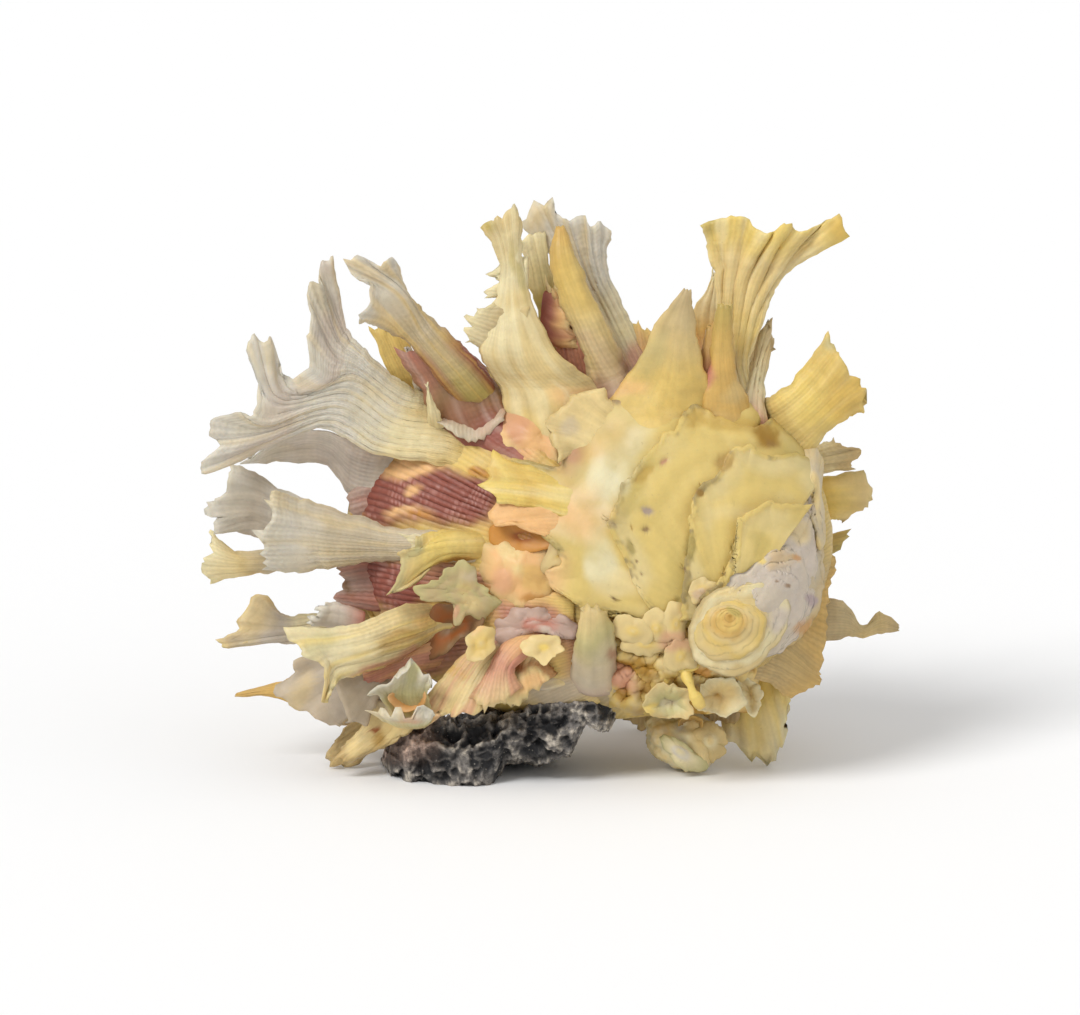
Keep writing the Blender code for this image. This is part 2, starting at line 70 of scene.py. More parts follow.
def to_world(points):
    """(across, up, out) in millimetres as the model's x, y, z in metres."""
    points = np.asarray(points, float)
    local = np.stack([points[..., 0], -points[..., 2], points[..., 1]], axis=-1) * MM
    return local @ np.array(ROTATION).T + np.array(ORIGIN)


# %% [markdown]
# ## Shapes that both valves share
#
# Both valves have one ellipse as their outline. Each is half a ball stretched to that ellipse
# and leaned towards the umbo.

# %% The two half balls
OUTLINE_CENTRE = np.array([7.0, 62.0])
OUTLINE_RADII = np.array([59.0, 46.0])
UPPER = (1, (22.0, -6.0), 28.0)
LOWER = (-1, (10.0, -4.0), 36.0)
UMBO = (43.0, 42.0)
CLEAR = 2.2


def ball_height(across, up, valve=UPPER):
    """How far a valve's face stands from the plane out = 0: the outer root of the quadratic
    that the leaned half ball gives at a point of that plane."""
    lean, height = valve[1:]
    p = (across - OUTLINE_CENTRE[0]) / OUTLINE_RADII[0]
    q = (up - OUTLINE_CENTRE[1]) / OUTLINE_RADII[1]
    s, t = lean[0] / OUTLINE_RADII[0], lean[1] / OUTLINE_RADII[1]
    full, half = 1 + s * s + t * t, p * s + q * t
    inside = np.maximum(half * half - full * (p * p + q * q - 1), 0.0)
    return height * np.maximum((half + np.sqrt(inside)) / full, 0.0)


def face(across, up, lift=-1.2):
    """A point just inside the upper valve's wall, where a frond starts."""
    return (across, up, max(float(ball_height(across, up, UPPER)) + lift, CLEAR))


def back(across, up, lift=-1.2):
    """The same in the lower valve's wall."""
    return (across, up, -max(float(ball_height(across, up, LOWER)) + lift, CLEAR))


print("the faces' heights over the outline's centre in mm:",
      [round(float(ball_height(*OUTLINE_CENTRE, valve)), 1) for valve in (UPPER, LOWER)])

# %% [markdown]
# ## Noise
#
# Lattice noise from a seeded generator gives every ragged edge and lump, so each run is alike.

# %% Seeded noise
LATTICE = 32


def noise(points, size, seed):
    """Values from -1 to 1: seeded random numbers on a cubic lattice of the given size in
    millimetres, blended with the smoothstep of each point's place in its cell."""
    table = np.random.default_rng(seed).uniform(-1, 1, (LATTICE,) * 3)
    place = np.asarray(points, float) / size + 100.0
    cell = np.floor(place).astype(int)
    part = place - cell
    part = part * part * (3 - 2 * part)
    total = np.zeros(place.shape[:-1])
    for corner in np.ndindex(2, 2, 2):
        at = (cell + np.array(corner)) % LATTICE
        weight = np.prod(np.where(corner, part, 1 - part), axis=-1)
        total += weight * table[at[..., 0], at[..., 1], at[..., 2]]
    return total


def seed_of(name):
    """A seed from a piece's name, the same in every run."""
    return zlib.crc32(name.encode()) % 10000


def fractal(points, size, seed, octaves=4):
    """Noise at halving sizes and halving strengths, summed."""
    points = np.asarray(points, float)
    return sum(noise(points, size / 2**k, seed + k) / 2**k for k in range(octaves))


def step(low, high, value):
    """0 below low, 1 above high, and the smoothstep between."""
    t = np.clip((value - low) / (high - low), 0, 1)
    return t * t * (3 - 2 * t)


def mix_rows(table, place):
    """The rows of a table, blended: place 0 is the first row and 1 the last."""
    table = np.array(table, float)
    stops = np.linspace(0, 1, len(table))
    return np.stack([np.interp(place, stops, column) for column in table.T], axis=-1)


TRIAL = noise(np.linspace(0, 400, 300).reshape(100, 3), 9, 1)
print("noise runs from", round(float(TRIAL.min()), 2), "to", round(float(TRIAL.max()), 2))

# %% [markdown]
# ## Colours
#
# The shell's colour is a field over its face: yellow, with soft patches of maroon, pink, peach
# and cream. A frond starts in the field's colour at its root and turns to its own towards its tip.

# %% Palette and colour field
PALETTE = {
    "yellow": (212, 182, 104),
    "bright": (224, 196, 108),
    "cream": (224, 199, 139),
    "pale": (222, 208, 164),
    "white": (208, 201, 184),
    "lilac": (200, 186, 170),
    "maroon": (140, 74, 58),
    "rose": (182, 118, 98),
    "pink": (204, 146, 118),
    "peach": (226, 178, 120),
    "orange": (192, 132, 54),
    "olive": (178, 158, 88),
    "grey": (184, 172, 156),
    "buff": (190, 164, 112),
    "green": (192, 184, 132),
    "honey": (204, 166, 92),
    "crust": (134, 118, 82),
    "ochre": (168, 126, 44),
    "brown": (136, 104, 68),
    "purple": (170, 150, 148),
    "bone": (196, 181, 153),
    "straw": (206, 182, 126),
    "moss": (184, 162, 118),
    "dusk": (184, 156, 140),
    "shale": (198, 184, 163),
    "gold": (210, 174, 86),
    "rust": (156, 88, 36),
    "fawn": (184, 168, 144),
    "sage": (186, 174, 120),
}


def linear(name):
    """A palette colour as linear light."""
    value = np.array(PALETTE[name]) / 255
    return np.where(value < 0.04045, value / 12.92, ((value + 0.055) / 1.055) ** 2.4)


# (across, up, half length, half width, turn in degrees, colour, strength)
PATCHES = [
    (4, 24, 18, 5.5, 0, "fawn", 0.9),
    (15, 79, 11, 4, 55, "pale", 0.9),
    (9.5, 68, 9, 4, 75, "pale", 0.9),
    (12, 56, 8, 4, -60, "pale", 0.8),
    (17, 50, 7, 5, 0, "cream", 0.8),
    (-1, 68, 17, 9, 0, "peach", 0.9),
    (6, 84, 14, 8, 0, "peach", 0.5),
    (-10, 50, 16, 9, 20, "peach", 0.85),
    (-10, 76, 13, 4.5, -8, "gold", 1.0),
    (-14, 74, 9, 2.5, 0, "yellow", 0.8),
    (-31, 71.5, 22, 8, -4, "maroon", 1.0),
    (-40, 72.5, 18, 11, -4, "maroon", 1.0),
    (-24, 71.5, 14, 6.5, -6, "maroon", 1.0),
    (-35, 78.5, 8, 3, 5, "peach", 1.0),
    (-34.5, 72.8, 3, 1.6, 0, "peach", 0.9),
    (-36, 67, 6, 2.2, 0, "peach", 0.9),
    (-33, 66, 3.5, 1.2, 0, "orange", 0.9),
    (-18, 78.5, 3, 1.8, -20, "orange", 0.9),
    (-42, 50, 16, 9, 8, "maroon", 1.0),
    (-25, 51, 9, 6, 10, "rose", 0.8),
    (-17, 91, 14, 6, -25, "maroon", 0.9),
    (-12, 88.5, 10, 4, -30, "rose", 0.8),
    (-7, 86, 7, 5, -20, "peach", 0.7),
    # Painted shadow: the pinkish patch beside the peach scale's right edge.
    (4, 82, 5, 5.5, 0, "rose", 0.75),
    (17, 98, 11, 6, -10, "pink", 0.75),
    (16, 103, 8, 6, 0, "maroon", 0.9),
    (38, 99, 5, 5, 0, "rose", 0.6),
    (-5, 41, 12, 5, -12, "rose", 0.95),
    (-21, 45, 9, 5, 30, "orange", 0.75),
    (-31, 34, 13, 7, 25, "rose", 0.85),
    (-14, 33, 14, 6, 0, "rose", 0.7),
    (8, 34, 9, 8, 0, "rose", 0.7),
    (64, 46, 16, 14, 70, "buff", 0.8),
    (62, 30, 12, 10, 0, "buff", 0.8),
    (62, 84, 10, 6, -50, "olive", 0.5),
    # An ochre hollow with a darker brown core: its colour, and painted shade in place of its depth.
    (52.5, 87, 5, 3.6, -15, "ochre", 1.0),
    (54.5, 86.2, 2.6, 1.8, -15, "brown", 0.8),
    (27, 99, 5, 4, 0, "olive", 0.5),
]
# Patches that show only in the hollows under the plates and leaves: orange and ochre, partly
# the shell's colour and partly painted shade.
HOLLOW_TINT_AND_SHADE = [
    (-8, 63, 9, 4, 0, "orange", 1.0),
    (26, 32, 14, 8, 0, "ochre", 0.95),
    (-24, 42, 8, 5, 20, "orange", 0.9),
]


def fade_to(tint, colour, weight):
    """A tint mixed towards a colour, given by value or by palette name, by a weight per point."""
    goal = linear(colour) if isinstance(colour, str) else colour
    return tint + (goal - tint) * np.asarray(weight)[..., None]


def paint(points, colour, patches):
    """A colour per point, mixed towards each patch's by the smoothstep of its warped ellipse."""
    warped = points[..., :2] + 2.5 * np.stack(
        [fractal(points, 9, 3, 3), fractal(points, 9, 11, 3)], axis=-1
    )
    colour = np.broadcast_to(colour, points.shape[:-1] + (3,))
    for across, up, long_half, short_half, turn, name, strength in patches:
        turn = math.radians(turn)
        x, y = warped[..., 0] - across, warped[..., 1] - up
        along = (x * math.cos(turn) + y * math.sin(turn)) / long_half
        aside = (y * math.cos(turn) - x * math.sin(turn)) / short_half
        weight = strength * (1 - step(0.45, 1.15, np.hypot(along, aside)))
        colour = fade_to(colour, name, weight)
    return colour


def field(points, more=()):
    """The face's own colour: yellow with all its patches."""
    return paint(points, linear("yellow"), [*PATCHES, *more])


def shades(names, place):
    """The colours of a list of names, blended from the first to the last."""
    return mix_rows([linear(name) for name in names.split()], place)


print("palette:", len(PALETTE), "colours")

# %% [markdown]
# ## Meshes
#
# Every grown piece is a sheet with two sides and a thin rim. Its mesh is a grid whose rows run
# down the front and back up the back. The material reads four things that each point carries:
# its tint, its place across the fine ribs, its place along the growth lines, and how strongly
# the ribs show there.

# %% Build a mesh from a grid
COUNT = {"pieces": 0, "triangles": 0}


def add_object(name, data):
    made = bpy.data.objects.new(name, data)
    bpy.context.scene.collection.objects.link(made)
    return made


def keep(piece, node):
    """The piece rides on the frame and stands for a CAD node, whose part is hidden."""
    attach(piece, "root")
    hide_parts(node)
    COUNT["pieces"] += 1
    COUNT["triangles"] += sum(len(face.vertices) - 2 for face in piece.data.polygons)
    return piece


def mesh_piece(name, points, quads, tint, rib, grow, fine, material):
    """An object from points in the shell's frame, faces, and what its material reads."""
    mesh = bpy.data.meshes.new(name)
    mesh.vertices.add(len(points))
    mesh.vertices.foreach_set("co", to_world(points).ravel())
    mesh.loops.add(quads.size)
    mesh.loops.foreach_set("vertex_index", quads.ravel())
    mesh.polygons.add(len(quads))
    mesh.polygons.foreach_set("loop_start", np.arange(len(quads)) * 4)
    mesh.update(calc_edges=True)
    mesh.polygons.foreach_set("use_smooth", np.ones(len(quads), bool))
    colour = np.concatenate([np.clip(tint, 0, 1), np.ones((len(points), 1))], axis=1)
    mesh.attributes.new("tint", "FLOAT_COLOR", "POINT").data.foreach_set("color", colour.ravel())
    for label, values in (("rib", rib), ("grow", grow), ("fine", fine)):
        spread = np.broadcast_to(values, (len(points),)).astype(np.float32)
        mesh.attributes.new(label, "FLOAT", "POINT").data.foreach_set("value", spread.copy())
    mesh.materials.append(material)
    return add_object(name, mesh)


def ring_quads(rows, columns):
    """Faces of a grid whose columns close into a ring. The first and last rows are sewn shut,
    front to back: column k to column columns - 1 - k."""
    index = np.arange(rows * columns).reshape(rows, columns)
    over = np.roll(index, -1, axis=1)
    quads = [np.stack([index[:-1], over[:-1], over[1:], index[1:]], axis=-1).reshape(-1, 4)]
    for row, turn in ((index[-1], 1), (index[0], -1)):
        front, behind = row[: columns // 2], row[columns // 2 :][::-1]
        cap = np.stack([front[:-1], front[1:], behind[1:], behind[:-1]], axis=-1)
        quads.append(cap[:, ::turn])
    return np.concatenate(quads)


def outward(points, quads):
    """Faces turned round if the closed mesh's signed volume is negative."""
    a, b, c, d = (points[quads[:, k]] for k in range(4))
    volume = np.einsum("ij,ij->i", a, np.cross(b, c)) + np.einsum("ij,ij->i", a, np.cross(c, d))
    return quads if volume.sum() > 0 else quads[:, ::-1]


def two_sided(name, middle, thick, tint, rib, grow, fine, material):
    """A sheet from its middle surface: half its thickness out along the normals for the front,
    half back for the back."""
    normals = grid_normals(middle)
    front = middle + normals * thick[..., None] / 2
    behind = middle - normals * thick[..., None] / 2
    points = np.concatenate([front, behind[:, ::-1]], axis=1)
    double = lambda values: np.concatenate([values, values[:, ::-1]], axis=1)
    quads = ring_quads(*points.shape[:2])
    flat = points.reshape(-1, 3)
    return mesh_piece(
        name, flat, outward(flat, quads), double(tint).reshape(-1, 3),
        double(rib).ravel(), double(grow).ravel(), double(fine).ravel(), material,
    )


def grid_normals(points):
    """Unit normals of a grid of points: its two gradients crossed, turned out on the whole."""
    normals = np.cross(np.gradient(points, axis=0), np.gradient(points, axis=1))
    normals /= np.maximum(np.linalg.norm(normals, axis=-1), 1e-9)[..., None]
    return normals if normals[..., 2].mean() > 0 else -normals


# %% [markdown]
# A frond is a sheet lofted through rows of points, from its root to its ragged free edge.

# %% Loft a frond
def loft(rows, along, across):
    """Points of the smooth surface through rows: the cubic with matching slopes at each row. Each
    stretch between two points of a row counts alike."""
    knots = np.stack([mix_rows(row, across) for row in rows])
    steps = np.linalg.norm(np.diff(knots, axis=0), axis=2).mean(axis=1)
    stops = np.concatenate([[0], np.cumsum(steps)]) / steps.sum()
    slopes = np.gradient(knots, stops, axis=0)
    first = np.clip(np.searchsorted(stops, along, side="right") - 1, 0, len(rows) - 2)
    pick = np.arange(len(along))
    span = (stops[first + 1] - stops[first])[:, None]
    t = (along - stops[first])[:, None] / span
    start, end = knots[first, pick], knots[first + 1, pick]
    leave, arrive = slopes[first, pick] * span, slopes[first + 1, pick] * span
    return (
        start * (1 + 2 * t) * (1 - t) ** 2
        + leave * t * (1 - t) ** 2
        + end * t * t * (3 - 2 * t)
        + arrive * t * t * (t - 1)
    )


def facing(rows, along):
    """Unit normals of the loft from its middle line and its two sides, turned out."""
    left, right = np.zeros_like(along), np.ones_like(along)
    ahead = loft(rows, np.minimum(along + 0.02, 1), right / 2)
    behind = loft(rows, np.maximum(along - 0.02, 0), right / 2)
    normals = np.cross(ahead - behind, loft(rows, along, right) - loft(rows, along, left))
    normals /= np.maximum(np.linalg.norm(normals, axis=1), 1e-9)[:, None]
    return normals if normals[:, 2].mean() > 0 else -normals


ROOT_REACH = 0.24  # how far a root runs back under the face, as a share of its way to the umbo
ROOT_DEPTH = 2.6
ROOT_SINK = 3.5  # how far a rooted sheet's two sides dive into the face at its root


def rooted(rows, valve):
    """The rows with one more before them, nearer to the umbo and sunk below the valve's face, so
    that the sheet rises out of the face at a low angle."""
    first = []
    for across, up, _ in rows[0]:
        across += (UMBO[0] - across) * ROOT_REACH
        up += (UMBO[1] - up) * ROOT_REACH
        out = max(float(ball_height(across, up, valve)) - ROOT_DEPTH, CLEAR)
        first.append((across, up, valve[0] * out))
    return [first, *rows]


def rib_profile(share, count, wander):
    """Ribs across a sheet, from 0 between them to 1 on them: a rounded wave, with a finer wave
    of about three times as many on it. Both slide sideways by the wander."""
    broad = np.abs(np.cos(np.pi * (share * count + wander))) ** 1.4
    fine = 0.5 + 0.5 * np.cos(math.tau * (share * count * 3.3 + 2 * wander))
    return 0.75 * broad + 0.25 * fine


def make_frond(name, rows, colours, node, material, arch=2.0, ribs=5, depth=0.5, ragged=1.6,
               curl=1.2, flare=0.0, thick=(2.4, 0.9), flank=None, fine=0.5, root=0.3, cell=1.05,
               rooting=False, patches=(), streak=None):
    """One frond. Its middle surface is the loft, arched across its width, ribbed, and ruffled
    towards a free edge that noise makes ragged, longest on the ribs. It thins from root to tip
    and to nothing at its rim. Lengths are in millimetres."""
    seed = seed_of(name)
    if rooting:
        rows = rooted(rows, UPPER if node == "upper_valve" else LOWER)
    share = np.linspace(0, 1, 24)
    middle = loft(rows, share, np.full(24, 0.5))
    length = np.linalg.norm(np.diff(middle, axis=0), axis=1).sum()
    sides = [loft(rows, share, np.full(24, end)) for end in (0.0, 1.0)]
    width = np.linalg.norm(sides[1] - sides[0], axis=1).max()
    free_edge = np.linalg.norm(np.diff(np.array(rows[-1], float), axis=0), axis=1).sum()
    rows_n = int(np.clip(length / cell, 20, 110))
    columns_n = int(np.clip(max(width, free_edge) / cell, 16, 150))
    u, v = np.meshgrid(np.linspace(0, 1, rows_n), np.linspace(0, 1, columns_n), indexing="ij")
    spread = np.stack([v * free_edge, v * 0 + seed, u * 4], axis=-1)
    wander = 0.35 * noise(np.stack([v * 2.5, u * length / 12, v * 0 + seed], axis=-1), 1, seed + 1)
    ridge = rib_profile(v, ribs, wander)
    rim = spread * [1, 1, 0]
    jag = fractal(rim, 3.4, seed, 3) + 0.5 * (ridge[-1:] - 0.6) + 0.9 * noise(rim, 1.5, seed + 8) ** 2
    flat_u = (u * (1 + ragged * jag / length)).ravel()
    surface = loft(rows, flat_u, v.ravel()).reshape(u.shape + (3,))
    ends = [loft(rows, flat_u, np.full(u.size, end)).reshape(u.shape + (3,)) for end in (0.0, 1.0)]
    local = np.linalg.norm(ends[1] - ends[0], axis=-1)
    aside = (ends[1] - ends[0]) / np.maximum(local, 1e-6)[..., None]
    run = np.stack([u * length, np.sign(v - 0.5) * 40 + seed, v * 0], axis=-1)
    nick = 0.55 * fractal(run, 2.6, seed + 5, 3) * step(0.12, 0.4, u) * np.minimum(local / 6, 1)
    surface += aside * (nick * np.sign(v - 0.5) * np.abs(2 * v - 1) ** 3)[..., None]
    out = facing(rows, flat_u).reshape(u.shape + (3,))
    rise = arch * np.sin(np.pi * v) ** 0.8 * local / width + flare * step(0.7, 1, u) ** 1.5
    if rooting:
        rise = rise - ROOT_SINK * step(0.5, 0.08, u) * (2 * v - 1) ** 2
    surface += out * rise[..., None]
    strong = depth * (0.3 + 0.7 * step(0.1, 0.8, u)) * np.minimum(1, 1.5 * local / width)
    ruffle = curl * noise(spread, 4.5, seed + 2) * step(0.65, 1.0, u)
    swell = 0.7 * noise(surface, 11, seed + 3) + 0.1 * fractal(surface, 3.5, seed + 4, 3)
    grown = 0.05 * np.sin(u * length * 1.7 + 3 * wander) * step(0.05, 0.2, u)
    surface += grid_normals(surface) * (strong * (ridge - 0.5) + ruffle + swell + grown)[..., None]
    edge = np.minimum(np.minimum(v, 1 - v) * local, (1 - u) * length)
    taper = np.sqrt(np.clip(edge / 1.2, 0.03, 1))
    wall = (thick[0] + (thick[1] - thick[0]) * step(0, 0.9, u)) * taper
    tint = paint(surface, frond_tint(surface, u, v, colours, flank, root, seed, ridge), patches)
    runs = noise(np.stack([v * width / 1.6, u * length / 22, v * 0 + seed], axis=-1), 1, seed + 15)
    runs = runs + 0.5 * noise(np.stack([v * width / 0.9, u * length / 9, v * 0], axis=-1), 1, seed + 16)
    tint = tint * (1 + 0.06 * runs)[..., None]
    if streak:
        tint = fade_to(tint, streak[0], streak[1] * step(0.0, 0.7, runs))
    return keep(
        two_sided(name, surface, wall, tint, v * width / 1.2, u * length,
                  np.clip(fine * (1.0 + 1.1 * noise(surface, 8, seed + 9)), 0.05, 1)
              * (0.2 + 0.8 * step(0.05, 0.4, u)), material),
        node,
    )


def frond_tint(surface, u, v, colours, flank, root, seed, ridge):
    """The field's colour at the root, then the frond's own colours in even steps to its tip,
    with its flanks mixed in along both sides, and its ribs a little lighter than the grooves
    between them, as painted shade."""
    shifted = np.clip(u + 0.10 * fractal(surface, 8, seed + 7, 3), 0, 1)
    own = shades(colours, shifted)
    mixed = field(surface) if root > 0 else own
    weight = step(0.02, max(root, 0.03), shifted) if root > 0 else np.ones(u.shape)
    tint = fade_to(mixed, own, weight)
    if flank:
        name, strength, reach = flank
        sides = strength * step(0.25, 0.85, np.abs(2 * v - 1))
        tint = fade_to(tint, name, sides * (1 - step(reach * 0.6, reach, shifted)))
    stain = 0.35 * step(0.0, 0.7, fractal(surface, 7, seed + 12, 4))[..., None]
    tint = tint * (1 - stain * [0.12, 0.18, 0.34])
    bleach = 0.3 * step(0.1, 0.7, fractal(surface, 6, seed + 13, 3))[..., None]
    tint = tint + (tint ** 0.8 - tint) * bleach
    # Painted shade: the ribs lighter and the grooves between them darker.
    return tint * (0.92 + 0.11 * np.clip(ridge, 0, 1))[..., None]


print("frond and dish helpers ready")

# %% [markdown]
# Cups, scales and the plates round the umbo are closed outlines rather than strips. Each is a
# dish: rings that shrink from a rim to a middle point, hollow or domed.

# %% Make a dish
def closed_curve(points, count, soften=6):
    """A closed curve through points, its corners rounded by repeated averaging."""
    curve = mix_rows([*points, points[0]], np.linspace(0, 1, count, endpoint=False))
    for _ in range(soften * max(1, count // 100)):
        curve = (np.roll(curve, 1, axis=0) + 2 * curve + np.roll(curve, -1, axis=0)) / 4
    return curve


def nearest(line, flat):
    """How far each point of a grid lies from the nearest point of a line, row by row."""
    return np.array([np.hypot(row[:, None, 0] - line[None, :, 0],
                              row[:, None, 1] - line[None, :, 1]).min(axis=1) for row in flat])


def on_face(outline, level):
    """Rim points of a dish that lies on the upper valve's face, raised by a level."""
    return [(across, up, float(ball_height(across, up)) + level) for across, up in outline]


def make_dish(name, rim, middle, colours, power=2.0, thick=1.3, ragged=0.5, ruffle=0.4, lump=0.15,
              rings=0, ring_depth=0.25, node="upper_valve", patches=(), material=None, fine=0.0,
              rim_shade=0.1, line_shade=0.1, cell=0.55):
    """A closed rim of (across, up, out) points, smoothed further in, joined to a middle point.
    Out goes from the middle's to the rim's by a power of the reach. Rings are little ledges, and
    noise makes the rim ragged and wavy."""
    seed = seed_of(name)
    round_rim = np.linalg.norm(np.diff(np.array([*rim, rim[0]], float), axis=0), axis=1).sum()
    columns = 2 * int(np.clip(round_rim / cell / 2, 24, 130))
    rows = int(np.clip(round_rim / 7 / cell * (2.8 if rings else 1.0), 12, 48))
    edge = closed_curve(rim, columns)
    centre = np.array(middle, float)
    way = edge[:, :2] - centre[:2]
    size = np.linalg.norm(way, axis=1)
    spot = np.concatenate([edge[:, :2], np.full((columns, 1), seed)], axis=1)
    jag = ragged * (fractal(spot, 2.6, seed, 3) + 0.3)
    edge[:, :2] += way / size[:, None] * jag[:, None]
    reach = (1 - (1 - np.linspace(0, 1, rows)) ** 1.4)[:, None]
    reach = np.maximum(reach, 0.01)
    calm = edge.copy()
    for _ in range(3 * columns):
        calm = (np.roll(calm, 1, axis=0) + 2 * calm + np.roll(calm, -1, axis=0)) / 4
    edge = calm + (edge - calm) * step(0.45, 1.0, reach)[..., None]
    plan = centre[:2] + (edge[..., :2] - centre[:2]) * reach[..., None]
    out = centre[2] + (edge[..., 2] - centre[2]) * reach**power
    turn = np.linspace(0, math.tau, columns, endpoint=False)
    out = out + ruffle * noise(spot, 3.5, seed + 1) * step(0.5, 1, reach)
    points = np.concatenate([plan, out[..., None]], axis=-1)
    out = out + lump * fractal(points, 3.0, seed + 2, 3) + 2 * lump * noise(points, 7, seed + 3)
    phase = reach * rings + 1.1 * noise(points, 11, seed + 4) + 0.05 * noise(points, 3, seed + 6)
    saw = phase - np.floor(phase)
    clear = step(-0.5, 0.3, noise(points, 9, seed + 7)) * (rings > 0)
    line = 1 - step(0.2, 0.0, saw) * clear
    points[..., 2] = out + ring_depth * (saw**2 - 0.4) * clear * step(0.0, 0.2, reach)
    left = np.minimum((1 - reach) * size, 3)
    wall = (thick * np.sqrt(np.clip(left / 0.9, 0.03, 1)))[..., None]
    around = np.concatenate([points[:, -1:], points, points[:, :1]], axis=1)
    normals = grid_normals(around)[:, 1:-1]
    shell = np.concatenate([points + normals * wall / 2, (points - normals * wall / 2)[::-1]])
    place = np.clip(reach + 0.15 * fractal(points, 5, seed + 5, 3), 0, 1)
    # Painted shade: rim_shade darkens the band within about 0.7 mm of the rim; line_shade darkens the
    # ring lines.
    shade = (1 - line_shade * (1 - line)) * (1 - rim_shade * step(0.7, 0.1, left))
    tint = paint(points, shades(colours, place), patches) * shade[..., None]
    quads = ring_quads(2 * rows, columns)
    flat = shell.reshape(-1, 3)
    both = np.concatenate([tint, tint[::-1]]).reshape(-1, 3)
    ribs = np.broadcast_to(turn * size.mean() / 1.7, (2 * rows, columns)).ravel()
    grow = np.concatenate([reach, reach[::-1]]) * size.mean()
    return keep(
        mesh_piece(name, flat, outward(flat, quads), both, ribs,
                   np.broadcast_to(grow, (2 * rows, columns)).ravel(), fine, material or UPPER_SHELL),
        node,
    )


print("helpers ready")

# %% [markdown]
# ## Finishes
#
# All the shell's materials share one effect: fine ribs from root to tip, crossed by growth
# lines, so that the surface looks beaded, with painted shade in the grooves and specks of grime.
# It could be an image, but a node group follows every sheet's own ribs at any size. The group
# puts out a colour, a roughness and a height, and each material keeps its own shader.

# %% The node group for shell
def add_socket(tree, name, kind, put_out=False, start=None):
    made = tree.interface.new_socket(
        name=name, in_out="OUTPUT" if put_out else "INPUT", socket_type="NodeSocket" + kind
    )
    if start is not None:
        made.default_value = start


def node(tree, kind, at, values=(), **settings):
    """A node at a place in the tree, with its settings and its unlinked inputs by name."""
    made = tree.nodes.new("ShaderNode" + kind)
    made.location = at
    for name, value in settings.items():
        setattr(made, name, value)
    for name, value in dict(values).items():
        made.inputs[name].default_value = value
    return made


def feed(tree, place, value):
    """Link a socket to an input, or set the input to a value."""
    if hasattr(value, "is_output"):
        tree.links.new(value, place)
    elif value is not None:
        place.default_value = value


def math_node(tree, operation, at, first, second=None, clamp=False):
    """A Math node whose inputs are numbers or sockets."""
    made = node(tree, "Math", at, operation=operation, use_clamp=clamp)
    feed(tree, made.inputs[0], first)
    feed(tree, made.inputs[1], second)
    return made.outputs[0]


def mix(tree, at, amount, first, second, kind="FLOAT", blending="MIX"):
    """A Mix node for numbers, or for colours if the kind is RGBA."""
    made = node(tree, "Mix", at, data_type=kind, blend_type=blending)
    for name, value in (("Factor", amount), ("A", first), ("B", second)):
        feed(tree, [s for s in made.inputs if s.name == name and s.enabled][0], value)
    return [s for s in made.outputs if s.enabled][0]


def ramp(tree, at, factor, stops):
    """A Map Range with smooth ends: from stops (from low, from high, to low, to high)."""
    made = node(tree, "MapRange", at, interpolation_type="SMOOTHSTEP")
    for place, value in enumerate(stops):
        made.inputs[1 + place].default_value = value
    tree.links.new(factor, made.inputs["Value"])
    return made.outputs["Result"]


